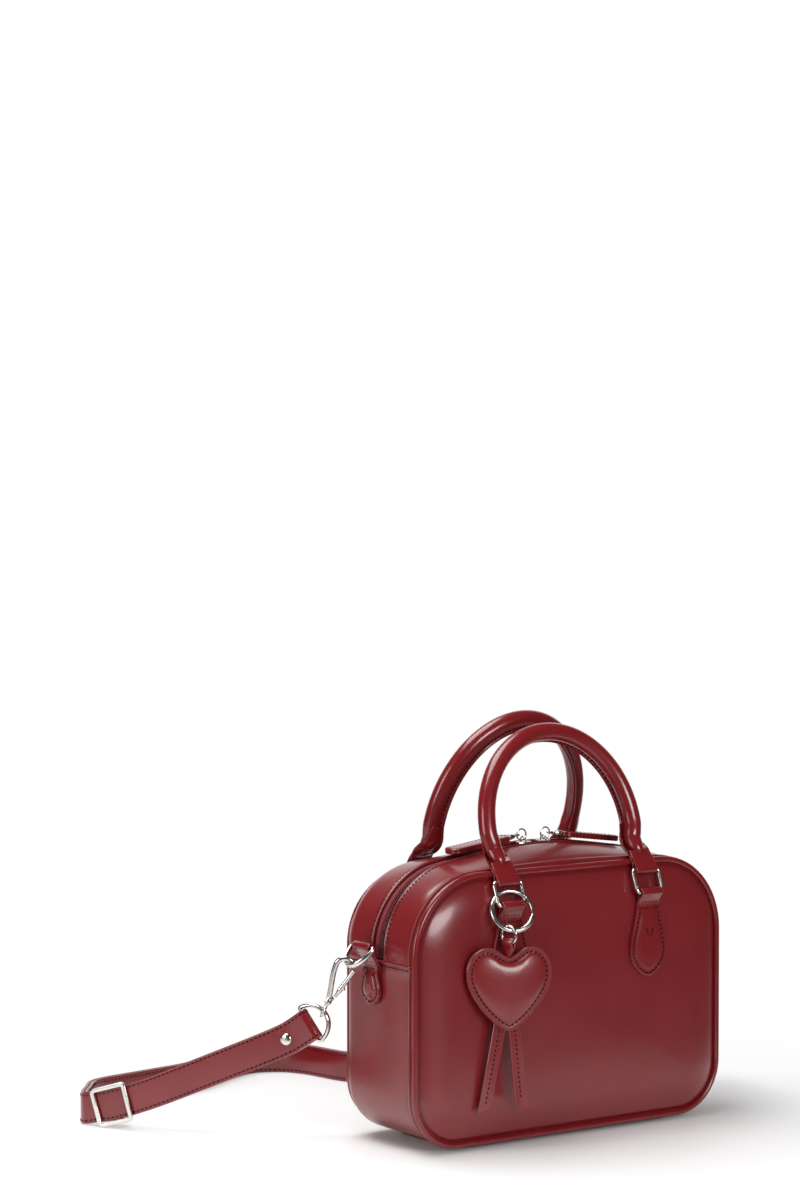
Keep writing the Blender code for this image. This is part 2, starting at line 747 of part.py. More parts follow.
def ring_bars(face):
    """The lower and upper bar of a handle ring, as (outward, z) pairs."""
    low = (HALF_DEPTH + CROWN + RING_STANDOFF, TOP_LINE - RING_DROP)
    lean = RING_LEANS[face]
    high = (low[0] - RING_HEIGHT * math.sin(lean), low[1] + RING_HEIGHT * math.cos(lean))
    return low, high


def leaf_outline(width, height):
    """A sewn leaf tab hanging down from its top edge, as (across, z) pairs."""
    right = [(across * width, -down * height) for across, down in LEAF_SHARES]
    return right + [(-x, z) for x, z in reversed(right[:-1])]


def make_chape(face, side):
    """The sewn leaf tab that carries one handle ring."""
    sign, x = FACES[face], SIDES[side] * HANDLE_HALF
    out = BACK * sign
    bar, _ = ring_bars(face)
    back = HALF_DEPTH + CROWN + SKIN / 2 + GAP
    front = back + LEAF_THICKNESS
    leaf_top = bar[1] - LEAF_TOP
    end = leaf_top - LEAF_THICKNESS
    profile = loop_outline(
        bar, LOOP_RADIUS, math.radians(-25), math.radians(205), (back, end), (front, end)
    )
    matrix = axes_matrix(Vector((x, 0, 0)), out, UP)
    loop = plate([profile, circle(bar, LOOP_BORE)], LEAF_NECK, matrix)
    matrix = axes_matrix(Vector((x, sign * (back + front) / 2, leaf_top)), RIGHT, UP)
    leaf = plate([leaf_outline(LEAF_WIDTH, LEAF_HEIGHT - LEAF_TOP)], LEAF_THICKNESS, matrix)
    finish(joined([loop, leaf]), f"chape_{face}_{side}", "leather")


def ring_pivot(face):
    """The middle of the lower bars' axis."""
    low, _ = ring_bars(face)
    return Vector((0, FACES[face] * low[0], low[1]))


def handle_pivot(face):
    """The middle of the upper bars' axis."""
    _, high = ring_bars(face)
    return Vector((0, FACES[face] * high[0], high[1]))


def make_handle_ring(face, side):
    """A rectangular wire ring between a leaf tab and a handle end."""
    sign, x = FACES[face], SIDES[side] * HANDLE_HALF
    low, high = ring_bars(face)
    middle = Vector((x, sign * (low[0] + high[0]) / 2, (low[1] + high[1]) / 2))
    up = Vector((0, sign * (high[0] - low[0]), high[1] - low[1]))
    matrix = axes_matrix(middle, RIGHT, up)
    corners = rounded(RING_WIDTH, RING_HEIGHT, RING_CORNER, steps=3)
    points = [matrix @ Vector((a, b, 0)) for a, b in corners]
    ring = tube(points, RING_WIRE, cyclic=True)
    finish(ring, f"handle_ring_{face}_{side}", "nickel", ring_pivot(face))


def offset_line(points, shift):
    """A flat line moved sideways, to its right."""
    moved = []
    for index, point in enumerate(points):
        ahead = points[min(index + 1, len(points) - 1)]
        behind = points[max(index - 1, 0)]
        run, rise = ahead[0] - behind[0], ahead[1] - behind[1]
        length = math.hypot(run, rise)
        moved.append((point[0] + shift * rise / length, point[1] - shift * run / length))
    return moved


def handle_tab_outline(lean):
    """The flat tab seen from its edge: a loop round the ring's bar and a strap that curves inwards and
    runs up into the tube, as (outward, z) pairs from the bar."""
    middle = [(-across * HANDLE_TAB_REACH, up * HANDLE_TAB_RISE) for across, up in HANDLE_TAB_SHARES]
    base = middle[-1]
    middle.append((base[0] - HANDLE_TAB_LAP * math.sin(lean), base[1] + HANDLE_TAB_LAP * math.cos(lean)))
    strap = middle[1:]
    towards = math.atan2(strap[0][1], strap[0][0])
    half = HANDLE_TAB_THICKNESS / 2
    start, end = towards + math.radians(65), towards + math.radians(295)
    profile = arc((0, 0), LOOP_RADIUS, start, end, 10)
    return profile + offset_line(strap, half) + offset_line(strap, -half)[::-1]


def make_handle(face):
    """A tube handle with a flat tab at each end, folded round its ring."""
    sign, lean = FACES[face], HANDLE_LEANS[face]
    pivot = handle_pivot(face)
    reach, rise = BACK * (-sign * HANDLE_TAB_REACH), UP * HANDLE_TAB_RISE
    base = pivot + reach + rise
    across, high = HANDLE_TAB_SHARES[-2]
    root = pivot + reach * across + rise * high
    up = Vector((0, -sign * math.sin(lean), math.cos(lean)))
    half, rise = HANDLE_HALF * HANDLE_ARCH_SHARES[face], HANDLE_ARCH_RISES[face]
    flat = [(HANDLE_HALF, 0), ((HANDLE_HALF + half) / 2, HANDLE_LEG / 2)]
    flat += arc((0, HANDLE_LEG), half, 0, math.pi, HANDLE_STEPS, rise)
    flat += [(-x, high) for x, high in reversed(flat[:2])]
    radii = [1.0] * (len(flat) + 2)
    for index, share in enumerate(HANDLE_END_SHARES):
        radii[index] = radii[-1 - index] = share
    points = [base + RIGHT * x + up * high for x, high in flat]
    points = [root + RIGHT * HANDLE_HALF, *points, root - RIGHT * HANDLE_HALF]
    pieces = [mesh_of(tube(points, HANDLE_RADIUS, resolution=3, radii=radii))]
    profile = handle_tab_outline(lean)
    for side_sign in SIDES.values():
        matrix = axes_matrix(pivot + RIGHT * (side_sign * HANDLE_HALF), BACK * sign, UP)
        pieces.append(plate([profile, circle((0, 0), LOOP_BORE)], LEAF_NECK, matrix))
    finish(joined(pieces), "handle_" + face, "leather", pivot)


# Side tabs, D-rings and snap hooks


def side_bar(side):
    """The middle of a side D-ring's straight bar."""
    across = SIDES[side] * (HALF_WIDTH + SIDE_STANDOFF)
    return Vector((across, SIDE_BACK, ZIP_END_HEIGHT + SIDE_BAR_RISE))


def make_side_tab(side):
    """The sewn leaf tab at one end of the zip that carries the side D-ring."""
    sign = SIDES[side]
    bar = (HALF_WIDTH + SIDE_STANDOFF, ZIP_END_HEIGHT + SIDE_BAR_RISE)
    back = HALF_WIDTH + GAP
    front = back + LEAF_THICKNESS
    leaf_top = ZIP_END_HEIGHT - SIDE_LEAF_TOP
    end = bar[1] - SIDE_LOOP_DROP
    bore = D_WIRE + BORE_GAP
    profile = loop_outline(
        bar, bore + STRAP_LAYER, math.radians(-30), math.radians(190), (back, end), (front, end)
    )
    matrix = axes_matrix(BACK * SIDE_BACK, RIGHT * sign, UP)
    loop = plate([profile, circle(bar, bore)], LEAF_NECK, matrix)
    matrix = axes_matrix(Vector((sign * (back + front) / 2, SIDE_BACK, leaf_top)), BACK, UP)
    leaf = plate([leaf_outline(SIDE_LEAF_WIDTH, SIDE_LEAF_HEIGHT)], LEAF_THICKNESS, matrix)
    finish(joined([loop, leaf]), "side_tab_" + side, "leather")


def side_ring_axis(side):
    """The direction in which a side D-ring droops."""
    return Vector((SIDES[side] * math.cos(D_DROOP), 0, -math.sin(D_DROOP)))


def make_side_ring(side):
    """The D-ring in a side tab."""
    centre = side_bar(side)
    points = d_points(centre, BACK, side_ring_axis(side), D_HALF, D_DEPTH)
    finish(tube(points, D_WIRE, cyclic=True), "side_ring_" + side, "nickel", centre)


def strap_level(side):
    """The level direction in which the strap leaves one side."""
    return Vector((SIDES[side] * math.sin(HOOK_TURN), math.cos(HOOK_TURN), 0))


def hook_axes(side):
    """A hook's axis up from the swivel, the direction across it in its plane, and the square to both."""
    level = strap_level(side)
    along = UP * math.cos(HOOK_PITCH) - level * math.sin(HOOK_PITCH)
    across = UP * math.sin(HOOK_PITCH) + level * math.cos(HOOK_PITCH)
    across = Matrix.Rotation(-SIDES[side] * HOOK_ROLL, 3, along) @ across
    return along, across, along.cross(across)


def hook_origin(side):
    """Where the swivel eye grips the strap ring."""
    along, across, _ = hook_axes(side)
    crossing = side_bar(side) + BACK * (D_HALF * math.cos(HOOK_GRIP))
    crossing += side_ring_axis(side) * (D_DEPTH * math.sin(HOOK_GRIP))
    return crossing - along * HOOK_REACH + across * HOOK_SHIFT


def hook_point(side, rise, shift):
    """A point of the hook's plane, from the swivel eye."""
    along, across, _ = hook_axes(side)
    return hook_origin(side) + along * rise + across * shift


def make_hook(side):
    """A trigger snap hook: a teardrop hook with a collar, its trigger gate and its swivel eye."""
    along, across, normal = hook_axes(side)
    arm_start = COLLAR_START + COLLAR_LENGTH / 2
    arm = []
    for rise_share, shift_share in HOOK_ARM_SHARES:
        rise = arm_start + (HOOK_TOP - arm_start) * rise_share
        arm.append(hook_point(side, rise, HOOK_TOP_RADIUS * shift_share))
    top = hook_point(side, HOOK_TOP, 0)
    arm += ring_points(top, along, across, HOOK_TOP_RADIUS, math.pi / 2, HOOK_NOSE_TURN, steps=8)
    collar_end = COLLAR_START + COLLAR_LENGTH
    collar = rod(hook_point(side, COLLAR_START, 0), hook_point(side, collar_end, 0), COLLAR_RADIUS)
    body = joined([mesh_of(tube(arm, HOOK_WIRE)), collar])
    finish(body, "snap_hook_" + side, "nickel")

    pivot = hook_point(side, TRIGGER_START, -TRIGGER_SIDE)
    trigger = rod(pivot, hook_point(side, TRIGGER_END, -TRIGGER_END_SIDE), TRIGGER_RADIUS)
    finish(trigger, "hook_trigger_" + side, "nickel", pivot)

    origin = hook_origin(side)
    eye = mesh_of(tube(ring_points(origin, along, normal, SWIVEL_RADIUS, steps=16), SWIVEL_WIRE, cyclic=True))
    post = rod(hook_point(side, SWIVEL_RADIUS, 0), hook_point(side, COLLAR_START - GAP, 0), SWIVEL_POST)
    finish(joined([eye, post]), "swivel_eye_" + side, "nickel", origin)


# Shoulder strap


def run_axis(side):
    """The first direction of the strap as it leaves its ring."""
    run, drop = RUN_SHARES[1]
    return (strap_level(side) * (RUN_LENGTH * run) - UP * (RUN_HEIGHT * drop)).normalized()


def strap_ring_axes(side):
    """A strap ring's bar direction and the direction of the strap that leaves it."""
    start = run_axis(side)
    bar = (UP - start * UP.dot(start)).normalized()
    return bar, start


def strap_ring_centre(side):
    """The middle of a strap ring's straight bar, from the point that the swivel eye grips."""
    bar, start = strap_ring_axes(side)
    across = STRAP_RING_HALF * math.sin(STRAP_RING_GRIP)
    depth = STRAP_RING_DEPTH * math.cos(STRAP_RING_GRIP)
    return hook_origin(side) - bar * across + start * depth


def run_point(side, shares):
    """A point of the strap's slope beside one ring."""
    run, drop = shares
    level = strap_level(side)
    return strap_ring_centre(side) + level * (RUN_LENGTH * run) - UP * (RUN_HEIGHT * drop)


def strap_route():
    """The middle line of the strap: down from the left ring, along the floor on its edge, and up to the
    right ring."""
    route = [run_point("left", shares) for shares in RUN_SHARES]
    floor = STRAP_WIDTH / 2 + GAP
    far, ring = route[-1], strap_ring_centre("right")
    for across, back, lift in LAY_SHARES:
        x = far.x + (ring.x - far.x) * across
        route.append(Vector((x, far.y * back, floor + lift * RUN_HEIGHT)))
    route += [run_point("right", shares) for shares in RISE_SHARES]
    return route


def smooth_line(points, steps):
    """Points of a Catmull-Rom curve through all the points."""
    padded = [points[0] * 2 - points[1], *points, points[-1] * 2 - points[-2]]
    line = []
    for index in range(1, len(padded) - 2):
        before, start, end, after = padded[index - 1: index + 3]
        for step in range(steps):
            t = step / steps
            bend = (before * 2 - start * 5 + end * 4 - after) * t**2
            curl = (start * 3 - before - end * 3 + after) * t**3
            line.append((start * 2 + (end - before) * t + bend + curl) / 2)
    line.append(points[-1])
    return line


def strap_frames():
    """Each station of the strap's middle line: its place, direction, inward side and width direction."""
    line = smooth_line(strap_route(), STRAP_STEPS)
    frames = []
    for index, place in enumerate(line):
        ahead = (line[min(index + 1, len(line) - 1)] - line[max(index - 1, 0)]).normalized()
        inward = Vector((ahead.y, -ahead.x, 0)).normalized()
        frames.append((place, ahead, inward, inward.cross(ahead)))
    return frames


def travel(frames):
    """How far each station lies along the strap."""
    distances = [0.0]
    for (low, *_), (high, *_) in zip(frames, frames[1:]):
        distances.append(distances[-1] + (high - low).length)
    return distances


def strap_spread(distance):
    """Half the distance between the strap's two layers, wider round a ring's bar."""
    wide = STRAP_RING_WIRE + GAP + STRAP_THICKNESS / 2
    return STRAP_SPLIT + (wide - STRAP_SPLIT) * max(0.0, 1 - distance / STRAP_BLEND) ** 2


def wrap(place, ahead, inward, width_axis, first, last, radius=None):
    """Stations of a fold round a bar, from one angle to the other about the width direction."""
    radius = radius or strap_spread(0)
    stations = []
    for step in range(1, WRAP_STEPS):
        angle = first + (last - first) * step / WRAP_STEPS
        point = place + (inward * math.cos(angle) - ahead * math.sin(angle)) * radius
        stations.append((point, width_axis))
    return stations


def slider_bar_shift():
    """From the strap's middle line to the slider's centre bar."""
    return STRAP_SPLIT + STRAP_THICKNESS / 2 + SLIDER_GAP + SLIDER_FRAME_WIRE


def strap_stations():
    """The strap's whole leather, from its riveted end round the left ring, through the slider, round the
    right ring and back to the slider's centre bar."""
    frames = strap_frames()
    distances = travel(frames)
    total = distances[-1]
    stations = []
    for (place, _, inward, width_axis), distance in reversed(list(zip(frames, distances))):
        if distance <= STRAP_TAIL:
            stations.append((place + inward * strap_spread(distance), width_axis))
    stations += wrap(*frames[0], 0, math.pi)
    for (place, _, inward, width_axis), distance in zip(frames, distances):
        shift = strap_spread(min(distance, total - distance))
        stations.append((place - inward * shift, width_axis))
    place, ahead, inward, width_axis = frames[-1]
    stations += wrap(place, -ahead, inward, width_axis, math.pi, 0)
    slider = STRAP_SLIDER_POINT * STRAP_STEPS
    for index in range(len(frames) - 1, slider - 1, -1):
        place, _, inward, width_axis = frames[index]
        stations.append((place + inward * strap_spread(total - distances[index]), width_axis))
    place, ahead, inward, width_axis = frames[slider]
    shift = slider_bar_shift()
    radius = shift - STRAP_SPLIT
    stations += wrap(place + inward * shift, ahead, inward, width_axis, math.pi, 0, radius)
    for reach in (0.0, SLIDER_TAIL):
        stations.append((place + inward * (shift + radius) + ahead * reach, width_axis))
    return stations


def rivet_frame():
    """The strap station that holds the rivet."""
    frames = strap_frames()
    distances = travel(frames)
    nearest = min(range(len(frames)), key=lambda index: abs(distances[index] - RIVET_PLACE))
    return frames[nearest], strap_spread(distances[nearest])


def make_strap():
    """The shoulder strap with its rivet hole, and the rivet."""
    half = STRAP_WIDTH / 2
    stations = strap_stations()
    rows = [[point - width_axis * half, point + width_axis * half] for point, width_axis in stations]
    leather = mesh_of(sheet(rows, STRAP_THICKNESS))
    (place, ahead, inward, _), spread = rivet_frame()
    reach = spread + STRAP_THICKNESS
    hole = rod(place - inward * reach, place + inward * reach, RIVET_HOLE)
    finish(joined([leather, hole], "DIFFERENCE"), "shoulder_strap", "leather")
    head = spread + STRAP_THICKNESS / 2 + GAP
    top = head + RIVET_HEAD_THICKNESS
    edge = RIVET_HEAD - RIVET_HEAD_THICKNESS / 2
    profile = [(0, top), (edge, top), (RIVET_HEAD, head + RIVET_HEAD_THICKNESS / 2), (RIVET_HEAD, head)]
    profile += [(RIVET_POST, head)]
    profile += [(radius, -height) for radius, height in reversed(profile)]
    rivet = turned(profile, axes_matrix(place, ahead, inward.cross(ahead)))
    finish(rivet, "strap_rivet", "nickel")


def make_strap_ring(side):
    """The D-ring in one end of the strap."""
    bar, start = strap_ring_axes(side)
    points = d_points(strap_ring_centre(side), bar, -start, STRAP_RING_HALF, STRAP_RING_DEPTH)
    finish(tube(points, STRAP_RING_WIRE, cyclic=True), "strap_ring_" + side, "nickel")


def make_strap_slider():
    """The slider that sets the strap's length: a frame over the strap and a centre bar behind it."""
    place, ahead, inward, width_axis = strap_frames()[STRAP_SLIDER_POINT * STRAP_STEPS]
    shift = slider_bar_shift()
    long, half = SLIDER_FRAME_LENGTH / 2, SLIDER_FRAME_HALF
    corners = rounded(2 * long, 2 * half, SLIDER_FRAME_WIRE, steps=2)
    points = [place - inward * shift + ahead * a + width_axis * b for a, b in corners]
    pieces = [mesh_of(tube(points, SLIDER_FRAME_WIRE, cyclic=True))]
    bar_ends = [place + inward * shift + width_axis * b for b in (-half, half)]
    frame_ends = [place - inward * shift + width_axis * b for b in (-half, half)]
    path = [frame_ends[0], bar_ends[0], bar_ends[1], frame_ends[1]]
    pieces.append(mesh_of(tube(path, SLIDER_FRAME_WIRE)))
    finish(joined(pieces), "strap_slider", "nickel", place)


# Charm


def charm_axes():
    """The gate ring's plane: sideways, up along the ring, and square to it towards the front."""
    side = Vector((math.cos(CHARM_TURN), math.sin(CHARM_TURN), 0))
    back = Vector((-math.sin(CHARM_TURN), math.cos(CHARM_TURN), 0))
    up = UP * math.cos(CHARM_LEAN) + back * math.sin(CHARM_LEAN)
    return side, up, side.cross(up)


def gate_ring_centre():
    """The middle of the gate ring, from the lower bar of the left front handle ring."""
    bar, _ = ring_bars("front")
    x = -HANDLE_HALF - GATE_RING_SIDE
    return Vector((x, -(bar[0] + GATE_RING_OUT), bar[1] - GATE_RING_DROP))


def gate_ring_top():
    """The top of the gate ring, which it hangs from."""
    _, up, _ = charm_axes()
    return gate_ring_centre() + up * GATE_RING_RADIUS


def make_gate_ring():
    """The round ring with its spring gate."""
    side, up, _ = charm_axes()
    centre = gate_ring_centre()
    start, end = GATE_END + GATE_FREE_SPLIT, math.tau + GATE_START - GATE_SPLIT
    arc_points = ring_points(centre, side, up, GATE_RING_RADIUS, start, end, GATE_RING_STEPS)
    finish(tube(arc_points, GATE_RING_WIRE), "gate_ring", "nickel", gate_ring_top())
    gate = ring_points(centre, side, up, GATE_RING_RADIUS, GATE_START, GATE_END, steps=6)
    finish(tube(gate, GATE_RING_WIRE), "ring_gate", "nickel", gate[0])


def charm_pivot():
    """The place low on the gate ring, a little to its left, that the charm swings on."""
    side, up, _ = charm_axes()
    return gate_ring_centre() - (up * math.cos(CHARM_HANG) + side * math.sin(CHARM_HANG)) * GATE_RING_RADIUS


def jump_ring_centre():
    """The middle of the jump ring that hangs in the gate ring."""
    return charm_pivot() - UP * (JUMP_RADIUS - GATE_RING_WIRE - JUMP_WIRE - JUMP_PLAY)


def heart_points(notch, side, size):
    """The heart's outline about its middle, drawn to a size."""
    half = list(HEART_SHARES)
    points = []
    for across, high in half + [(-x, z) for x, z in reversed(half[1:-1])]:
        high = (high + HEART_MIDDLE_SHARE) * size - HEART_MIDDLE_SHARE + HEART_NOTCH_SHARE
        points.append(notch + side * (across * size * HEART_WIDTH) + UP * (high * HEART_HEIGHT))
    return points


def make_charm():
    """The jump ring, the leather hanger, the padded heart and its two tails."""
    pivot = charm_pivot()
    centre = jump_ring_centre()
    turn = CHARM_TURN + JUMP_TURN
    level = Vector((math.cos(turn), math.sin(turn), 0))
    ring = tube(ring_points(centre, level, UP, JUMP_RADIUS), JUMP_WIRE, cyclic=True)
    finish(ring, "jump_ring", "nickel", pivot)

    sag = JUMP_RADIUS - math.sqrt(JUMP_RADIUS**2 - (HANGER_WIDTH / 2) ** 2)
    bar = centre - UP * (JUMP_RADIUS - sag / 2)
    bore = JUMP_WIRE + HANGER_PLAY
    outer = bore + HANGER_LAYER
    profile = loop_outline(
        (0, 0), outer, math.radians(-25), math.radians(205),
        (-HANGER_LAYER, -HANGER_FOLD), (HANGER_LAYER, -HANGER_FOLD), outer + sag / 2,
    )
    hole = circle((0, 0), bore, rise=bore + sag / 2)
    out = level.cross(UP)
    fold = plate([profile, hole], HANGER_WIDTH, axes_matrix(bar, out, UP))
    half, tip = HANGER_WIDTH / 2, HANGER_TIP / 2
    start = -HANGER_FOLD + HANGER_LAYER
    shape = [(half, start), (-half, start), (-half, -HANGER_FOLD), (-tip, -HANGER_LENGTH)]
    shape += [(tip, -HANGER_LENGTH), (half, -HANGER_FOLD)]
    point = plate([shape], 2 * HANGER_LAYER, axes_matrix(bar, level, UP))
    finish(joined([fold, point]), "charm_hanger", "leather", pivot)

    side, _, _ = charm_axes()
    back = UP.cross(side)
    notch = bar - UP * (HANGER_LENGTH + HANGER_SEAT)
    rows = []
    for size, crown in HEART_RING_SHARES:
        depth = HEART_RIM + (HEART_CROWN - HEART_RIM) * crown
        flat_ring = heart_points(notch, side, size)
        rows.insert(0, [point + back * depth for point in flat_ring])
        rows.append([point - back * depth for point in flat_ring])
    finish(heart_solid(rows), "charm_heart", "leather", pivot)

    tip = notch - UP * (HEART_HEIGHT * (1 - HEART_NOTCH_SHARE))
    for name, spread in TAIL_SPREADS.items():
        down = -UP * math.cos(spread) - side * math.sin(spread)
        across = side * math.cos(spread) - UP * math.sin(spread)
        layer = back * (HEART_RIM + TAIL_SEAT + TAIL_THICKNESS / 2)
        start = tip + UP * TAIL_TOP_RISE + side * TAIL_OFFSETS[name] + layer
        half = TAIL_WIDTH / 2
        slant = -SIDES[name] * TAIL_SLANT
        length = TAIL_LENGTHS[name]
        shape = [(0, half), (0, -half), (length + slant, -half), (length - slant, half)]
        tail = plate([shape], TAIL_THICKNESS, axes_matrix(start, down, across))
        finish(tail, "charm_tail_" + name, "leather", pivot)


def heart_solid(rows):
    """A closed solid through loops of points, with a flat face at each end."""
    bm = bmesh.new()
    grid = [[bm.verts.new(point) for point in row] for row in rows]
    for low, high in zip(grid, grid[1:]):
        for index, vert in enumerate(low):
            after = (index + 1) % len(low)
            bm.faces.new((vert, low[after], high[after], high[index]))
    bm.faces.new(grid[0])
    bm.faces.new(grid[-1])
    bmesh.ops.recalc_face_normals(bm, faces=bm.faces)
    mesh = bpy.data.meshes.new("heart")
    bm.to_mesh(mesh)
    bm.free()
    return new_object("heart", mesh)


def main():
    """Build the bag."""
    clear_scene()
    collection = bpy.data.collections.new("top_handle_bag")
    bpy.context.scene.collection.children.link(collection)
    for face in FACES:
        make_panel(face)
        make_piping(face)
        for side in SIDES:
            make_chape(face, side)
            make_handle_ring(face, side)
        make_handle(face)
    make_gussets()
    make_zip()
    make_base()
    make_stiffeners()
    make_lining()
    for side in SIDES:
        make_slider(side)
        make_pull(side)
        make_side_tab(side)
        make_side_ring(side)
        make_hook(side)
        make_strap_ring(side)
    make_strap()
    make_strap_slider()
    make_gate_ring()
    make_charm()


if __name__ == "__main__":
    main()
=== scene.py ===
"""The looks of a small top handle bag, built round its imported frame.

Metres, +Z up, +X to the bag's right, the front faces -Y, as in the frame. Every leather, cloth and metal
piece is modelled here in full and stands for the plain solid of the frame that has its place.
"""

import logging
from dataclasses import dataclass, field
from enum import Enum
from math import asin, atan2, cos, hypot, pi, radians, sin, sqrt, tau
from typing import Sequence

import bmesh
import bpy
from mathutils import Matrix, Vector, noise


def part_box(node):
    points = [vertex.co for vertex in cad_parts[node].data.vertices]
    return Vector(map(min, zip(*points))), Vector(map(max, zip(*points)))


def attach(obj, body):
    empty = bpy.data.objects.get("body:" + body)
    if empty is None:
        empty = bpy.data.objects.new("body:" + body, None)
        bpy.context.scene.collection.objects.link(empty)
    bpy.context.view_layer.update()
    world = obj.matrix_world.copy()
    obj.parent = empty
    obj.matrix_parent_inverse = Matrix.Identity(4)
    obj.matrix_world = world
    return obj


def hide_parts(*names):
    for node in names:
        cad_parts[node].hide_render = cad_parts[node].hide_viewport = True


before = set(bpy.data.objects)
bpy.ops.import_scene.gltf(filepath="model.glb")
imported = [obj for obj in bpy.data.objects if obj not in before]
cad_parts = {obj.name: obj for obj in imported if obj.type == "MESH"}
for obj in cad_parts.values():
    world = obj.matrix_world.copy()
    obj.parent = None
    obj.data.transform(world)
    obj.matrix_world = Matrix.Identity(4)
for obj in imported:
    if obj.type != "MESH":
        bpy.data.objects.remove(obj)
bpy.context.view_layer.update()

LOG = logging.getLogger("top_handle_bag")
UP = Vector((0, 0, 1))
RIGHT = Vector((1, 0, 0))
BACK = Vector((0, 1, 0))
CREASE = radians(40)
WHITE = (1, 1, 1, 1)

Pair = tuple[float, float]
Triple = tuple[float, float, float]
Mesh = bmesh.types.BMesh
Socket = bpy.types.NodeSocket
# The points and the faces of a small shape that is repeated.
Bead = tuple[list[Vector], list[tuple[int, ...]]]
# A point of the bag's outline: x, z, and the outward direction's x and z.
Station = tuple[float, float, float, float]
# A point of the strap: its place, its direction, its inward side and its width direction.
Spot = tuple[Vector, Vector, Vector, Vector]


class Place(Enum):
    """An end or a face of the bag."""

    @property
    def word(self) -> str:
        """Its word in piece names."""
        return self.name.lower()


class Side(Place):
    """The two ends of the bag, with the sign of X there."""

    LEFT = -1
    RIGHT = 1


class Face(Place):
    """The front and the back of the bag, with the sign of Y there."""

    FRONT = -1
    BACK = 1


# Shaping tools


def arc(centre: Pair, radius: float, start: float, end: float, steps: int, rise: float = 0.0) -> list[Pair]:
    """Points on an arc in a plane.

    Args:
        centre: The middle of the arc.
        radius: Its radius, across where it is an oval.
        start: The first angle in radians.
        end: The last angle in radians.
        steps: How many stretches the arc has.
        rise: Its upright radius, where it is an oval.

    Returns:
        One more point than the steps.
    """
    rise = rise or radius
    angles = [start + (end - start) * step / steps for step in range(steps + 1)]
    return [(centre[0] + radius * cos(a), centre[1] + rise * sin(a)) for a in angles]


def rounded(width: float, height: float, corner: float, steps: int = 5) -> list[Pair]:
    """A closed rectangle with round corners about the middle."""
    points = []
    for quarter, (sx, sy) in enumerate(((1, -1), (1, 1), (-1, 1), (-1, -1))):
        centre = (sx * (width / 2 - corner), sy * (height / 2 - corner))
        start = radians(90) * (quarter - 1)
        points += arc(centre, corner, start, start + radians(90), steps)
    return points


def circle(radius: float, steps: int) -> list[Pair]:
    """A closed circle about the middle."""
    return arc((0, 0), radius, 0, tau, steps)[:-1]


def inset_ring(points: Sequence[Pair], amount: float) -> list[Pair]:
    """A closed outline, drawn counter-clockwise, moved inwards by an amount."""
    moved = []
    for index, (x, y) in enumerate(points):
        before, after = points[index - 1], points[(index + 1) % len(points)]
        run, rise = after[0] - before[0], after[1] - before[1]
        length = hypot(run, rise) or 1.0
        moved.append((x - rise / length * amount, y + run / length * amount))
    return moved


def mirrored(points: Sequence[Pair]) -> list[Pair]:
    """Points mirrored across the middle, in reverse order."""
    return [(-x, y) for x, y in reversed(points)]


def laid(origin: Vector, u_axis: Vector, v_axis: Vector, points: Sequence[Pair]) -> list[Vector]:
    """Flat points laid out in space along two directions."""
    return [origin + u_axis * a + v_axis * b for a, b in points]


def smooth_line(points: Sequence[Vector], steps: int, cyclic: bool = False) -> list[Vector]:
    """Points of a Catmull-Rom curve through all the points.

    Args:
        points: The places that the curve goes through.
        steps: How many stretches lie between two of them.
        cyclic: Whether the curve closes on itself.

    Returns:
        The curve's points. A closed curve doesn't repeat its first point.
    """
    if cyclic:
        padded = [points[-1], *points, points[0], points[1]]
    else:
        padded = [points[0] * 2 - points[1], *points, points[-1] * 2 - points[-2]]
    line = []
    for before, start, end, after in zip(padded, padded[1:], padded[2:], padded[3:]):
        for step in range(steps):
            t = step / steps
            bend = (before * 2 - start * 5 + end * 4 - after) * t**2
            curl = (start * 3 - before - end * 3 + after) * t**3
            line.append((start * 2 + (end - before) * t + bend + curl) / 2)
    return line if cyclic else [*line, points[-1].copy()]


def smooth_pairs(points: Sequence[Pair], steps: int) -> list[Pair]:
    """A flat open outline made smooth through its points."""
    line = smooth_line([Vector((x, y, 0)) for x, y in points], steps)
    return [(point.x, point.y) for point in line]


def directions(points: Sequence[Vector], cyclic: bool = False) -> list[Vector]:
    """The direction of an open or a closed line at each of its points."""
    before = [points[-1 if cyclic else 0], *points[:-1]]
    after = [*points[1:], points[0 if cyclic else -1]]
    return [(high - low).normalized() for low, high in zip(before, after)]


def distances(points: Sequence[Vector]) -> list[float]:
    """How far along a line each of its points lies."""
    gone = [0.0]
    for low, high in zip(points, points[1:]):
        gone.append(gone[-1] + (high - low).length)
    return gone


def columns(origin: Vector, x_axis: Vector, y_axis: Vector, z_axis: Vector) -> Matrix:
    """The matrix that puts local X, Y and Z along three vectors, at their lengths."""
    matrix = Matrix((x_axis, y_axis, z_axis)).transposed().to_4x4()
    matrix.translation = origin
    return matrix


def axes(origin: Vector, x_axis: Vector, y_axis: Vector) -> Matrix:
    """The matrix that puts local X and Y along two directions, with Z square to both."""
    x_axis = x_axis.normalized()
    z_axis = x_axis.cross(y_axis).normalized()
    return columns(origin, x_axis, z_axis.cross(x_axis), z_axis)


def frames_along(points: Sequence[Vector], up: Vector, cyclic: bool = False) -> list[Matrix]:
    """Frames along a line, for sweeping a section.

    Args:
        points: The line.
        up: The direction that each frame's Y keeps to.
        cyclic: Whether the line closes on itself.

    Returns:
        One matrix for each point, with Z along the line.
    """
    result = []
    for point, ahead in zip(points, directions(points, cyclic)):
        side = up.cross(ahead).normalized()
        result.append(columns(point, side, ahead.cross(side), ahead))
    return result


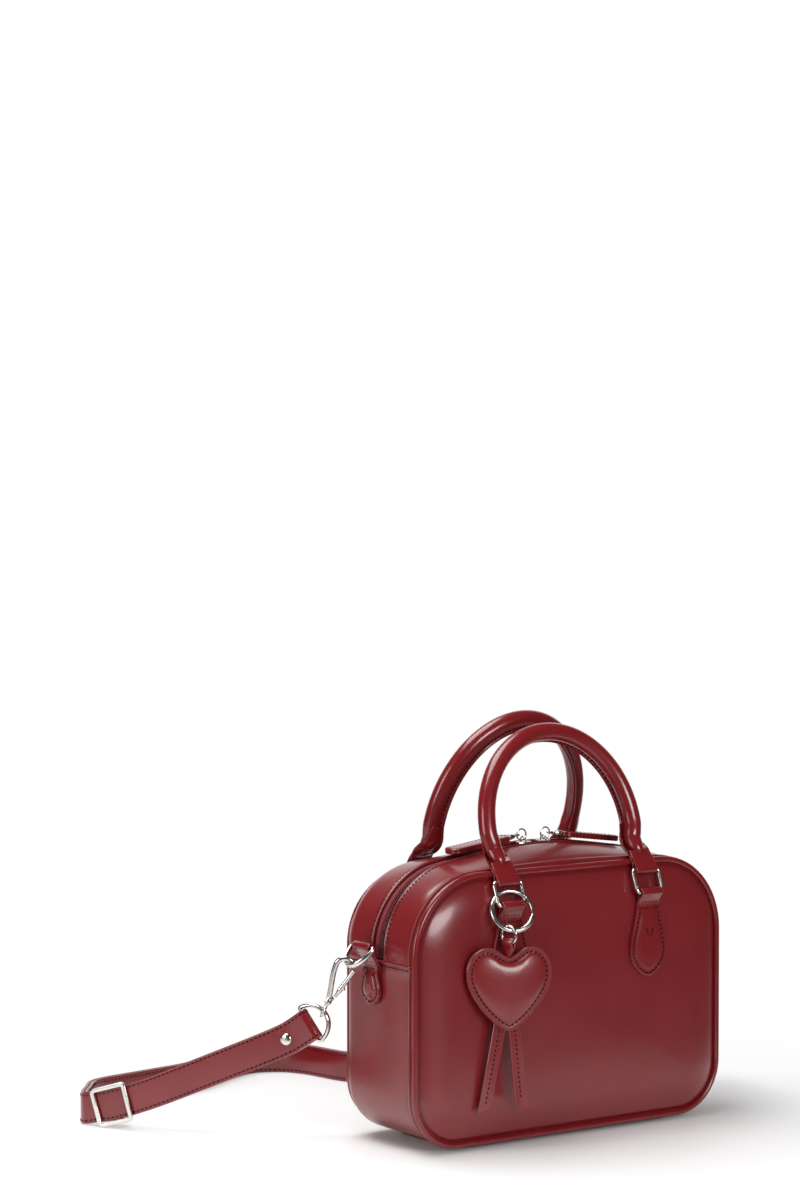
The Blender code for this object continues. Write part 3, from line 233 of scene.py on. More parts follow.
def resampled(
    points: Sequence[Vector], pitch: float, margin: float = 0.0
) -> list[tuple[Vector, Vector, int]]:
    """Evenly spaced places along a line.

    Args:
        points: The line.
        pitch: The wanted distance between places.
        margin: How much of each end is left free.

    Returns:
        Each place with its direction and the number of the stretch that it lies on.
    """
    spans = [(b - a).length for a, b in zip(points, points[1:])]
    room = sum(spans) - 2 * margin
    count = max(1, round(room / pitch))
    places = []
    index, passed = 0, 0.0
    for step in range(count):
        target = margin + room * (step + 0.5) / count
        while index < len(spans) - 1 and passed + spans[index] < target:
            passed += spans[index]
            index += 1
        share = (target - passed) / max(spans[index], 1e-9)
        place = points[index].lerp(points[index + 1], share)
        places.append((place, (points[index + 1] - points[index]).normalized(), index))
    return places


def loft(bm: Mesh, rows: Sequence[Sequence[Vector]], cyclic: bool = False, caps: bool = True) -> None:
    """Skin loops of points by extruding each loop from the one before, with a UV map along and round them.

    Args:
        bm: The mesh that grows.
        rows: Loops with the same number of points.
        cyclic: Whether the last loop joins the first.
        caps: Whether the first and the last loop are filled.
    """
    ring = [bm.verts.new(point) for point in rows[0]]
    made = list(ring)
    edges = [bm.edges.new(pair) for pair in zip(ring, [*ring[1:], ring[0]])]
    first_edges = edges
    layer = bm.loops.layers.uv.verify()
    across, along = distances([*rows[0], rows[0][0]]), 0.0
    following = [*rows[1:], rows[0]] if cyclic else rows[1:]
    for before, row in zip([rows[0], *following], following):
        result = bmesh.ops.extrude_edge_only(bm, edges=edges)
        fresh = {v for v in result["geom"] if isinstance(v, bmesh.types.BMVert)}
        old = ring
        ring = [next(e.other_vert(v) for e in v.link_edges if e.other_vert(v) in fresh) for v in old]
        for vert, point in zip(ring, row):
            vert.co = point
        edges = [bm.edges.get(pair) for pair in zip(ring, [*ring[1:], ring[0]])]
        step = (row[0] - before[0]).length
        for index, edge in enumerate(edges):
            ends = old[index + 1 - len(old)], ring[index + 1 - len(old)]
            for loop in edge.link_faces[0].loops:
                loop[layer].uv = (across[index + (loop.vert in ends)], along + step * (loop.vert in fresh))
        along += step
        made += ring
    if cyclic:
        bmesh.ops.remove_doubles(bm, verts=made, dist=1e-6)
    elif caps:
        for loop_edges in (first_edges, edges):
            bmesh.ops.contextual_create(bm, geom=loop_edges)


def sweep(
    bm: Mesh, section: Sequence[Pair], frames: Sequence[Matrix], cyclic: bool = False,
    scales: Sequence[Pair] | None = None,
) -> None:
    """Sweep a closed section along frames.

    Args:
        bm: The mesh that grows.
        section: The section's points.
        frames: The places along the way.
        cyclic: Whether the sweep closes on itself, and otherwise its ends are filled.
        scales: The section's scale across and up at each frame.
    """
    scales = scales or [(1.0, 1.0)] * len(frames)
    rows = [
        [matrix @ Vector((x * wide, y * high, 0)) for x, y in section]
        for matrix, (wide, high) in zip(frames, scales)
    ]
    loft(bm, rows, cyclic)


def rod(
    bm: Mesh, radius: float, sides: int, points: Sequence[Vector], up: Vector, cyclic: bool = False,
    scales: Sequence[Pair] | None = None,
) -> None:
    """Bend a round wire along points.

    Args:
        bm: The mesh that grows.
        radius: The wire's radius.
        sides: How many sides its section has.
        points: The line.
        up: The direction that its section keeps to.
        cyclic: Whether the line closes on itself.
        scales: The section's scale across and up at each point.
    """
    sweep(bm, circle(radius, sides), frames_along(points, up, cyclic), cyclic, scales)


def flat_band(
    width: float, thickness: float, roundness: float = 0.9, steps: int = 3, middle: int = 0
) -> list[Pair]:
    """The section of a strap with soft edges, with some points along each flat side."""
    points = rounded(width, thickness, thickness / 2 * roundness, steps)
    half = len(points) // 2
    sides = []
    for start in (half - 1, len(points) - 1):
        (x0, y0), (x1, y1) = points[start], points[(start + 1) % len(points)]
        shares = [step / (middle + 1) for step in range(1, middle + 1)]
        sides.append([(x0 + (x1 - x0) * share, y0 + (y1 - y0) * share) for share in shares])
    return points[:half] + sides[0] + points[half:] + sides[1]


def bead_shape(segments: int, rings: int) -> Bead:
    """The points and faces of a small round shape of radius 1, to be repeated along a line."""
    bm = bmesh.new()
    bmesh.ops.create_uvsphere(bm, u_segments=segments, v_segments=rings, radius=1.0)
    bm.verts.index_update()
    shape = [v.co.copy() for v in bm.verts], [tuple(v.index for v in f.verts) for f in bm.faces]
    bm.free()
    return shape


def add_bead(bm: Mesh, bead: Bead, matrix: Matrix) -> None:
    """Add one copy of a repeated shape at a place."""
    points, faces = bead
    fresh = [bm.verts.new(matrix @ point) for point in points]
    for face in faces:
        bm.faces.new([fresh[index] for index in face])


@dataclass(frozen=True)
class Stitch:
    """The sizes of one stitch of thread."""

    pitch: float = 0.0029
    length: float = 0.0021
    width: float = 0.00105
    height: float = 0.0003
    slant: float = 0.16


TRIM_SEAM = Stitch(length=0.0020, width=0.0012)


def stitches(
    bm: Mesh, line: Sequence[Vector], normal: Vector | Sequence[Vector], look: Stitch, margin: float = 0.0
) -> None:
    """Lay a row of thread stitches on a surface.

    Args:
        bm: The mesh that grows.
        line: The line of the seam on the surface.
        normal: The surface's direction, or one for each point of the line.
        look: The stitch's sizes.
        margin: How much of each end is left free.
    """
    bead = bead_shape(6, 4)
    for place, ahead, index in resampled(line, look.pitch, margin):
        out = normal if isinstance(normal, Vector) else normal[index]
        side = out.cross(ahead).normalized()
        along = (ahead + side * look.slant).normalized()
        side = out.cross(along).normalized()
        up = along.cross(side) * look.height
        add_bead(bm, bead, columns(place, along * look.length / 2, side * look.width / 2, up))


def turned(bm: Mesh, profile: Sequence[Pair], place: Matrix, steps: int = 24) -> None:
    """Turn a profile about Z into a closed solid and put it in place.

    Args:
        bm: The mesh that grows.
        profile: Points as (radius, height), the first and last on the axis.
        place: Where the solid goes.
        steps: How many stretches lie round it.
    """
    old = set(bm.verts)
    verts = [bm.verts.new((radius, 0, height)) for radius, height in profile]
    edges = [bm.edges.new(pair) for pair in zip(verts, verts[1:])]
    bmesh.ops.spin(
        bm, geom=verts + edges, cent=(0, 0, 0), axis=(0, 0, 1), angle=tau, steps=steps, use_merge=True
    )
    made = [vert for vert in bm.verts if vert not in old]
    bmesh.ops.remove_doubles(bm, verts=made, dist=1e-7)
    made = [vert for vert in bm.verts if vert not in old]
    bmesh.ops.transform(bm, matrix=place, verts=made)


def ring_rows(outline: Sequence[Pair], levels: Sequence[Pair], place: Matrix) -> list[list[Vector]]:
    """Rings of one outline.

    Args:
        outline: The outline, counter-clockwise as seen from Z.
        levels: Each ring as (how far it is drawn in, its height along Z).
        place: Where they go.

    Returns:
        The points of each ring.
    """
    return [[place @ Vector((x, y, z)) for x, y in inset_ring(outline, inset)] for inset, z in levels]


def plate(bm: Mesh, outline: Sequence[Pair], levels: Sequence[Pair], place: Matrix) -> None:
    """Add a closed body from rings of one outline, as ring_rows makes them."""
    loft(bm, ring_rows(outline, levels, place))


def round_points(
    centre: Vector, u_axis: Vector, v_axis: Vector, radius: float, start: float = 0.0,
    end: float = tau, steps: int = 40,
) -> list[Vector]:
    """Points round a circle or an arc in space. A full circle leaves out its repeated end."""
    full = end - start > tau - 1e-6
    points = []
    for step in range(steps if full else steps + 1):
        angle = start + (end - start) * step / steps
        points.append(centre + (u_axis * cos(angle) + v_axis * sin(angle)) * radius)
    return points


def hoop(
    bm: Mesh, centre: Vector, u_axis: Vector, v_axis: Vector, radius: float, wire: float, sides: int,
    steps: int,
) -> None:
    """Add a closed round ring of wire.

    Args:
        bm: The mesh that grows.
        centre: The ring's middle.
        u_axis: One direction in its plane.
        v_axis: The other direction in its plane.
        radius: From its middle to the middle of its wire.
        wire: The wire's radius.
        sides: How many sides the wire's section has.
        steps: How many stretches lie round the ring.
    """
    points = round_points(centre, u_axis, v_axis, radius, steps=steps)
    rod(bm, wire, sides, points, u_axis.cross(v_axis), cyclic=True)


# Finishes


class Recipe:
    """Adds nodes to one node tree and links them."""

    def __init__(self, tree: bpy.types.NodeTree) -> None:
        """Start from a tree."""
        self.nodes, self.links = tree.nodes, tree.links

    def fill(self, node: bpy.types.Node, inputs: dict) -> None:
        """Give a node its inputs.

        Args:
            node: The node.
            inputs: For the name or number of each input a value, or the socket that is linked to it.
        """
        for key, value in inputs.items():
            if isinstance(value, Socket):
                self.links.new(value, node.inputs[key])
            else:
                node.inputs[key].default_value = value

    def add(self, kind: str, inputs: dict | None = None, **settings: object) -> bpy.types.NodeOutputs:
        """Add a shader node.

        Args:
            kind: The node's type.
            inputs: Its inputs, as fill takes them.
            settings: Its own settings, made first.

        Returns:
            Its outputs.
        """
        node = self.nodes.new("ShaderNode" + kind)
        for name, value in settings.items():
            setattr(node, name, value)
        self.fill(node, inputs or {})
        return node.outputs

    def calc(self, operation: str, *values: object) -> Socket:
        """A number worked out from values or sockets."""
        return self.add("Math", dict(enumerate(values)), operation=operation)[0]

    def noise(self, place: Socket, scale: float, detail: float = 2.0) -> Socket:
        """A noise on some coordinates, about 0.5."""
        return self.add("TexNoise", {"Vector": place, "Scale": scale, "Detail": detail})["Fac"]

    def blend(self, share: Socket, low: Triple, high: Triple) -> Socket:
        """A colour between two colours."""
        return self.add("Mix", {"Factor": share, "A": (*low, 1), "B": (*high, 1)}, data_type="RGBA")["Result"]

    def ramp(
        self, value: Socket, source: Pair, target: Pair = (0.0, 1.0), kind: str = "LINEAR"
    ) -> Socket:
        """A number brought from one range to another and kept in it."""
        inputs = {"Value": value, "From Min": source[0], "From Max": source[1]}
        inputs |= {"To Min": target[0], "To Max": target[1]}
        return self.add("MapRange", inputs, interpolation_type=kind)["Result"]

    def fade(self, value: Socket, start: float, end: float) -> Socket:
        """A soft step from 0 at the start to 1 at the end."""
        return self.ramp(value, (start, end), kind="SMOOTHSTEP")

    def bump(self, height: Socket, strength: float, distance: float) -> Socket:
        """The normal of a surface with small heights."""
        inputs = {"Height": height, "Strength": strength, "Distance": distance}
        return self.add("Bump", inputs)["Normal"]

    def surface(
        self, share: Socket, low: Socket, high: Socket, output: str
    ) -> None:
        """Lead a mix of two shaders to the output of that name."""
        mix = self.add("MixShader", {"Fac": share, 1: low, 2: high})
        self.fill(self.nodes[output], {"Surface": mix[0]})


class MaterialRecipe(Recipe):
    """A new material with its Principled shader."""

    def __init__(self, name: str) -> None:
        """Make the material."""
        self.material = bpy.data.materials.new(name)
        self.material.use_nodes = True
        super().__init__(self.material.node_tree)
        self.shader = self.nodes["Principled BSDF"]
        self.place = self.add("TexCoord")

    def finished(self, **inputs: object) -> bpy.types.Material:
        """The material, with its shader's inputs filled, an underscore for each space in a name."""
        self.fill(self.shader, {name.replace("_", " "): value for name, value in inputs.items()})
        return self.material


def shaded(colour: Triple, factor: float) -> Triple:
    """A colour made lighter or darker."""
    red, green, blue = colour
    return red * factor, green * factor, blue * factor


def leather_group() -> bpy.types.NodeTree:
    """The group that gives a leather's grain height and its mottling.

    Returns:
        A node group with a Vector and a Scale going in, and Height and Mottle coming out.
    """
    group = bpy.data.node_groups.new("leather_grain", "ShaderNodeTree")
    face = group.interface
    face.new_socket("Vector", in_out="INPUT", socket_type="NodeSocketVector")
    face.new_socket("Scale", in_out="INPUT", socket_type="NodeSocketFloat").default_value = 1.0
    for name in ("Height", "Mottle"):
        face.new_socket(name, in_out="OUTPUT", socket_type="NodeSocketFloat")
    recipe = Recipe(group)
    entry, leave = recipe.nodes.new("NodeGroupInput").outputs, recipe.nodes.new("NodeGroupOutput")
    place = recipe.add("VectorMath", {0: entry["Vector"], "Scale": entry["Scale"]}, operation="SCALE")[0]
    cells = recipe.add("TexVoronoi", {"Vector": place, "Scale": 1500, "Smoothness": 0.6}, feature="SMOOTH_F1")
    height = recipe.calc("MULTIPLY_ADD", cells["Distance"], 0.7, recipe.noise(place, 900, 3))
    recipe.fill(leave, {"Height": height, "Mottle": recipe.noise(place, 24)})
    return group


@dataclass(frozen=True)
class Leather:
    """Smooth glossy leather with a fine grain."""

    name: str = "burgundy_leather"
    deep: Triple = (0.155, 0.0066, 0.0088)
    light: Triple = (0.200, 0.0105, 0.0132)
    roughness: Pair = (0.285, 0.34)
    grain: float = 0.09
    scale: float = 1.0
    coat: float = 0.4

    def build(self, group: bpy.types.NodeTree) -> bpy.types.Material:
        """Make the material.

        Args:
            group: The leather grain group.

        Returns:
            The material.
        """
        recipe = MaterialRecipe(self.name)
        grain = recipe.add("Group", {"Vector": recipe.place["Object"], "Scale": self.scale}, node_tree=group)
        mottle = grain["Mottle"]
        return recipe.finished(
            Base_Color=recipe.blend(mottle, self.deep, self.light),
            Roughness=recipe.ramp(mottle, (0.1, 0.9), self.roughness),
            Normal=recipe.bump(grain["Height"], self.grain, 0.0006),
            Coat_Weight=self.coat, Coat_Roughness=0.15,
        )


@dataclass(frozen=True)
class Metal:
    """Polished plated metal with faint wear."""

    name: str = "polished_nickel"
    colour: Triple = (0.76, 0.73, 0.69)
    roughness: Pair = (0.16, 0.25)

    def build(self) -> bpy.types.Material:
        """Make the material."""
        recipe = MaterialRecipe(self.name)
        wear = recipe.noise(recipe.place["Object"], 420, 6)
        return recipe.finished(
            Base_Color=recipe.blend(wear, self.colour, shaded(self.colour, 0.9)),
            Roughness=recipe.ramp(wear, (0.35, 0.75), self.roughness), Metallic=1.0,
        )


@dataclass(frozen=True)
class Thread:
    """Waxed sewing thread with its twist, near black: its own darker burgundy and painted shade of the needle
    holes and groove.
    """

    name: str = "burgundy_thread"
    # near black: the thread's darker burgundy with painted shade of its needle holes and of the groove it
    # lies in
    colour: Triple = (0.018, 0.0014, 0.0026)

    def build(self) -> bpy.types.Material:
        """Make the material."""
        recipe = MaterialRecipe(self.name)
        twist = recipe.noise(recipe.place["Object"], 2600)
        return recipe.finished(
            Base_Color=recipe.blend(twist, shaded(self.colour, 0.6), shaded(self.colour, 1.5)),
            Normal=recipe.bump(twist, 0.4, 0.0002), Roughness=0.7, Specular_IOR_Level=0.2,
        )


@dataclass(frozen=True)
class Cloth:
    """Woven tape or lining, its weave on the piece's own UV map."""

    name: str
    warp: Triple
    weft: Triple
    threads: float = 1700.0
    depth: float = 0.5

    def build(self) -> bpy.types.Material:
        """Make the material."""
        recipe = MaterialRecipe(self.name)
        inputs = {"Vector": recipe.place["UV"], "Scale": self.threads / tau, "Distortion": 0.6}
        warp, weft = (recipe.add("TexWave", inputs, bands_direction=axis)["Fac"] for axis in ("X", "Y"))
        return recipe.finished(
            Base_Color=recipe.blend(warp, self.warp, self.weft),
            Normal=recipe.bump(recipe.calc("MAXIMUM", warp, weft), self.depth, 0.0003), Roughness=0.8,
        )


@dataclass(frozen=True)
class Nylon:
    """The moulded nylon of the zip's teeth, or a stiff fibre board."""

    name: str = "zip_nylon"
    colour: Triple = (0.12, 0.009, 0.016)
    roughness: float = 0.34

    def build(self) -> bpy.types.Material:
        """Make the material."""
        recipe = MaterialRecipe(self.name)
        spots = recipe.noise(recipe.place["Object"], 1200)
        return recipe.finished(
            Base_Color=recipe.blend(spots, shaded(self.colour, 0.75), shaded(self.colour, 1.25)),
            Roughness=self.roughness,
        )


@dataclass(frozen=True)
class Finish:
    """A material as the pieces use it.

    Attributes:
        material: The material.
        slot: The name of a material slot; not used.
        word: Its word at the end of piece names.
        covers: Whether its pieces stand for a node of the frame.
    """

    material: bpy.types.Material
    slot: str
    word: str = ""
    covers: bool = True


class Finishes:
    """The finishes that the pieces share."""

    def __init__(self) -> None:
        """Build each material once."""
        group = leather_group()
        trim = Leather(name="trim_leather", roughness=(0.2, 0.262), grain=0.035)
        tape = Cloth("zip_tape_weave", (0.19, 0.015, 0.024), (0.28, 0.03, 0.042))
        lining = Cloth("lining_weave", (0.07, 0.006, 0.01), (0.1, 0.012, 0.016), 900.0)
        self.leather = Finish(Leather().build(group), "leather", "leather")
        self.soft_leather = Finish(trim.build(group), "leather", "leather")
        self.metal = Finish(Metal().build(), "nickel", "metal")
        self.thread = Finish(Thread().build(), "leather", "stitches", covers=False)
        self.tape = Finish(tape.build(), "zip_tape", "cloth")
        self.lining = Finish(lining.build(), "lining")
        self.nylon = Finish(Nylon().build(), "zip_tape")
        self.board = Finish(Nylon("fibre_board", (0.3, 0.25, 0.18), 0.85).build(), "board")


def make_piece(node: str, bm: Mesh, finish: Finish, body: str = "bag", name: str = "") -> bpy.types.Object:
    """Turn a bmesh into a finished piece of the bag.

    Args:
        node: The node of the frame that it stands for, or is sewn to.
        bm: Its shape, which is freed.
        finish: Its finish.
        body: The body of the frame that it rides on.
        name: The piece's name, where it isn't the node's with the finish's word.

    Returns:
        The piece.
    """
    name = name or f"{node}_{finish.word}"
    bmesh.ops.remove_doubles(bm, verts=bm.verts, dist=1e-7)
    bmesh.ops.recalc_face_normals(bm, faces=bm.faces)
    mesh = bpy.data.meshes.new(name)
    bm.to_mesh(mesh)
    bm.free()
    mesh.shade_smooth()
    mesh.set_sharp_from_angle(angle=CREASE)
    mesh.materials.append(finish.material)
    piece = bpy.data.objects.new(name, mesh)
    bpy.context.scene.collection.objects.link(piece)
    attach(piece, body)
    if finish.covers:
        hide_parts(node)
    LOG.info("%s: %d faces", name, len(mesh.polygons))
    return piece


# The body of the bag


@dataclass
class BagBody:
    """The panels, piping, gussets and base."""

    finishes: Finishes
    width: float = 0.2405
    height: float = 0.165
    depth: float = 0.0781
    top_corner: float = 0.048
    bottom_corner: float = 0.032
    lift: float = 0.004
    zip_end: float = 0.1165
    top_rise: float = 0.013
    crown: float = 0.006
    crown_reach: float = 0.030
    skin: float = 0.0016
    piping_radius: float = 0.002
    zip_slot: float = 0.006
    base_length: float = 0.172
    base_width: float = 0.066
    base_corner: float = 0.012
    sewn_gap: float = 0.0003
    sag: float = 0.00035
    strip_sag: Pair = (0.012, 0.03)
    band_sag: float = 0.024
    fold_rises: tuple = (0.0002, 0.0009, 0.0009)
    ridge: tuple = (
        (0.0014, -0.0028), (0.0022, -0.0020), (0.0028, -0.0004), (0.0034, 0.0008), (0.0042, 0.0014),
        (0.0051, 0.0013), (0.0059, 0.0007), (0.0066, 0.0), (0.0075, -0.0003), (0.0087, 0.0),
    )
    back_edge: Pair = (0.0008, 0.0022)
    seam_dip: tuple = ((0.0012, -0.0014), (0.0023, -0.0013), (0.0030, -0.0009), (0.0036, -0.0001))
    crown_foot: Pair = (0.0044, 0.0005)
    crown_shares: tuple = (0.0, 0.04, 0.09, 0.15, 0.23, 0.33, 0.46, 0.62, 0.8, 1.0)
    crown_power: float = 2.6
    flat_shares: tuple = (0.88, 0.74, 0.6, 0.46, 0.32, 0.18, 0.07)
    flat_rise: float = 0.0006
    hole_reach: float = 0.03
    strip_shares: tuple = (0.15, 0.3, 0.45, 0.6, 0.75, 0.88, 1.0)
    strip_fold: tuple = (
        (0.0034, 0.0), (0.0028, -0.0001), (0.0023, -0.0003), (0.0018, -0.0001), (0.0013, 0.0004),
        (0.0008, 0.0006), (0.0003, 0.0004), (0.0, -0.0003), (0.0001, -0.0012),
    )
    strip_seam: float = 0.0023
    back_roll: Pair = (0.010, 0.0055)
    seam: Stitch = Stitch()
    side_seam: Stitch = Stitch(length=0.0020, width=0.0013, height=0.0004)

    @property
    def top_line(self) -> float:
        """The height of the piping's centre line along the top."""
        return self.lift + self.height

    def sagged(self, point: Vector, out: Vector) -> Vector:
        """A point of the leather moved a little along its outward direction, as real leather lies."""
        wave = noise.noise(point * 26.0) + 0.5 * noise.noise(point * 61.0)
        return point + out * (wave * self.sag)

    def corner(
        self, x: float, z: float, radius: float, start: float, inset: float, steps: int
    ) -> list[Station]:
        """Points on one round corner, each as (x, z, outward x, outward z)."""
        points = []
        for step in range(steps + 1):
            angle = radians(start + 90 * step / steps)
            out_x, out_z = cos(angle), sin(angle)
            points.append((x + out_x * (radius - inset), z + out_z * (radius - inset), out_x, out_z))
        return points

    def outline(self, inset: float, steps: int = 16, straight: int = 10) -> list[Station]:
        """The closed body outline as seen from the front, drawn in by an inset, as corner gives it."""
        low_x, high_x = self.width / 2 - self.bottom_corner, self.width / 2 - self.top_corner
        low, high = self.lift + self.bottom_corner, self.top_line - self.top_corner
        corners = [
            self.corner(low_x, low, self.bottom_corner, -90, inset, steps),
            self.corner(high_x, high, self.top_corner, 0, inset, steps),
            self.corner(-high_x, high, self.top_corner, 90, inset, steps),
            self.corner(-low_x, low, self.bottom_corner, 180, inset, steps),
        ]
        points = []
        for index, corner in enumerate(corners):
            points += corner
            last, after = corner[-1], corners[(index + 1) % 4][0]
            for step in range(1, straight):
                share = step / straight
                points.append(tuple(a + (b - a) * share for a, b in zip(last, after)))
        return points

    def way(self, sign: int, heights: list[float], radius: float, steps: int, straight: int) -> list[Station]:
        """The outline from one zip end round two corners to the other.

        Args:
            sign: 1 from the right end over the top, -1 from the left end under the base.
            heights: The heights of its points on each upright end.
            radius: The corners' radius.
            steps: How many stretches each corner has.
            straight: How many stretches lie between the corners.

        Returns:
            Its points, each as (x, z, outward x, outward z).
        """
        across, level = self.width / 2 - radius, self.top_line if sign > 0 else self.lift
        start = 0 if sign > 0 else 180
        side = [(sign * self.width / 2, z, sign, 0) for z in heights]
        path = side + self.corner(sign * across, level - sign * radius, radius, start, 0.0, steps)
        for step in range(1, straight):
            path.append((sign * (across - 2 * across * step / straight), level, 0, sign))
        path += self.corner(-sign * across, level - sign * radius, radius, start + 90, 0.0, steps)
        return path + [(-x, z, -out, up) for x, z, out, up in reversed(side)]

    def upper_path(self) -> list[Station]:
        """The outline from the right zip end over the top to the left zip end."""
        high = self.top_line - self.top_corner
        heights = [self.zip_end + (high - self.zip_end) * step / 3 for step in range(3)]
        return self.way(1, heights, self.top_corner, 18, 30)

    def lower_path(self) -> list[Station]:
        """The outline from the left zip end under the base to the right zip end."""
        low = self.lift + self.bottom_corner
        heights = [self.zip_end - drop for drop in (0.0003, 0.0009, 0.0016, 0.003)]
        heights += [heights[3] + (low - heights[3]) * step / 9 for step in range(1, 9)]
        return self.way(-1, heights, self.bottom_corner, 14, 16)

    def drawn_in(self, face: Face) -> float:
        """How far the seam of a face is drawn in from the body's outline."""
        return self.back_roll[1] if face is Face.BACK else 0.0

    def rim(self, face: Face) -> list[Pair]:
        """The edge of the gusset at one face, from its seam inwards, as (depth, height)."""
        edge = self.depth / 2
        if face is Face.FRONT:
            return [(edge - inwards, height) for inwards, height in self.ridge]
        reach, drop = self.back_roll
        inwards, low = self.back_edge
        return arc((edge - inwards - reach, -drop - low), reach, 0, pi / 2, 7, drop + low)

    def swell(self, point: Sequence[float]) -> float:
        """How far the gusset swells out at the middle of the depth."""
        x, z, out_x, out_z = point
        flat, high = self.width / 2 - self.top_corner, self.top_line - self.top_corner
        if z < self.zip_end:
            return 0.0
        turn = atan2(abs(out_x), out_z)
        run = min(abs(x), flat) + self.top_corner * turn + max(0.0, high - z) * (out_z == 0)
        reach = flat + self.top_corner * pi / 2 + high - self.zip_end
        return self.top_rise * sin(pi / 2 * max(0.0, 1 - run / reach)) ** 3

    def skin_point(self, point: Sequence[float], y: float, height: float) -> Vector:
        """A point of the gusset at a depth, at a height over its skin."""
        x, z, out_x, out_z = point
        out = self.swell(point) * (1 - (2 * y / self.depth) ** 2) + height
        return Vector((x + out_x * out, y, z + out_z * out))

    def skin_normal(self, point: Sequence[float], y: float) -> Vector:
        """The outward direction of the gusset at a depth."""
        slope = self.swell(point) * 8 * y / self.depth**2
        return Vector((point[2], slope, point[3])).normalized()

    def panel(self, face: Face) -> None:
        """The crowned panel inside the piping."""
        sign, half = face.value, (self.depth + self.skin) / 2
        seam = self.drawn_in(face)
        levels = list(self.seam_dip)
        edge, foot = self.crown_foot
        for share in self.crown_shares:
            rise = foot + (self.crown - foot) * (1 - (1 - share) ** self.crown_power)
            levels.append((edge + (self.crown_reach - seam - edge) * share, rise))
        rows = [
            [Vector((x, sign * (half + rise), z)) for x, z, _, _ in self.outline(seam + inset)]
            for inset, rise in levels
        ]
        last, middle = rows[-1], Vector((0, 0, self.lift + self.height / 2))
        for share in self.flat_shares:
            y = sign * (half + self.crown + self.flat_rise * (1 - share**2))
            rows.append([Vector((p.x * share, y, middle.z + (p.z - middle.z) * share)) for p in last])
        sewn = 6  # the rows at the seam, which don't sag
        rows = rows[:sewn] + [[self.sagged(point, BACK * sign) for point in row] for row in rows[sewn:]]
        bm = bmesh.new()
        loft(bm, rows, caps=False)
        near = self.hole_reach
        hole = [e for e in bm.edges if e.is_boundary and (e.verts[0].co - middle).xz.length < near]
        bmesh.ops.contextual_create(bm, geom=hole)
        bmesh.ops.recalc_face_normals(bm, faces=bm.faces)
        if sum(f.normal.y * sign for f in bm.faces) < 0:
            bmesh.ops.reverse_faces(bm, faces=bm.faces)
        bmesh.ops.solidify(bm, geom=bm.faces, thickness=self.skin)
        make_piece(face.word + "_panel", bm, self.finishes.leather)

    def piping(self, face: Face) -> None:
        """The covered cord along the edge of one panel."""
        y = face.value * self.depth / 2
        points = [Vector((x, y, z)) for x, z, _, _ in self.outline(self.drawn_in(face))]
        bm = bmesh.new()
        rod(bm, self.piping_radius, 14, points, BACK, cyclic=True)
        name = face.word + "_piping"
        make_piece(name, bm, self.finishes.soft_leather, name=name + "_cord")

    def strip_section(self, face: Face) -> list[Pair]:
        """The section of a strip beside the zip, as (depth, height), from the piping to the zip."""
        slot, skin = self.zip_slot, self.skin
        outer = self.rim(face)
        start, last = outer[-1][0], slot + self.strip_fold[0][0]
        outer += [(start + (last - start) * share, 0.0) for share in self.strip_shares]
        outer += [(slot + apart, height) for apart, height in self.strip_fold[1:]]
        outer.append((slot + 0.0006, -skin))
        under = [(y - 0.0008, height - skin) for y, height in reversed(self.rim(face)[::2])]
        return outer + under

    def strip(self, face: Face) -> None:
        """One strip beside the zip, with its folded edge and its topstitching."""
        sign = face.value
        section = self.strip_section(face)
        path = self.upper_path()
        low, high = self.strip_sag
        rows = []
        for point in path:
            row = []
            for y, height in section:
                place = self.skin_point(point, sign * y, height)
                normal = self.skin_normal(point, sign * y)
                row.append(self.sagged(place, normal) if low < y < high else place)
            rows.append(row)
        bm = bmesh.new()
        loft(bm, rows)
        name = "zip_gusset_" + face.word
        make_piece(name, bm, self.finishes.leather)
        bm = bmesh.new()
        y = sign * (self.zip_slot + self.strip_seam)
        line = [self.skin_point(point, y, 0.00005) for point in path]
        stitches(bm, line, [self.skin_normal(point, y) for point in path], self.seam, 0.004)
        make_piece(name, bm, self.finishes.thread, name="zip_topstitch_" + face.word)

    def band(self) -> None:
        """The lower gusset round the sides and the bottom, with its folded top edges and their stitching."""
        edge, skin, fold = self.depth / 2, self.skin, self.fold_rises
        back, front = self.rim(Face.BACK), [(-y, height) for y, height in reversed(self.rim(Face.FRONT))]
        across = [(y, 0.0) for y in (0.024, 0.0185, 0.013, 0.0065, 0.0, -0.007, -0.014, -0.021, -0.028)]
        section = back + across + front
        section += [(front[0][0] + 0.0002, -skin), (back[-1][0], -skin)]
        section += [(y - 0.0008, height - skin) for y, height in reversed(back[::2])]
        path = self.lower_path()
        rows = []
        for index, point in enumerate(path):
            from_end = min(index, len(path) - 1 - index)
            lift = fold[from_end] if from_end < len(fold) else 0.0
            row = []
            for y, height in section:
                place = self.skin_point(point, y, height + (lift if height > -skin else 0.0))
                if abs(y) < self.band_sag and from_end > 2 + len(fold):
                    place = self.sagged(place, Vector((point[2], 0, point[3])))
                row.append(place)
            rows.append(row)
        bm = bmesh.new()
        loft(bm, rows)
        make_piece("lower_gusset", bm, self.finishes.leather)
        bm = bmesh.new()
        for side in Side:
            x, z = side.value * self.width / 2, self.zip_end - 0.0034
            line = [Vector((x, y, z)) for y in (-edge + 0.004, edge - 0.011)]
            stitches(bm, line, RIGHT * side.value, self.side_seam)
        make_piece("lower_gusset", bm, self.finishes.thread, name="side_seam_stitches")

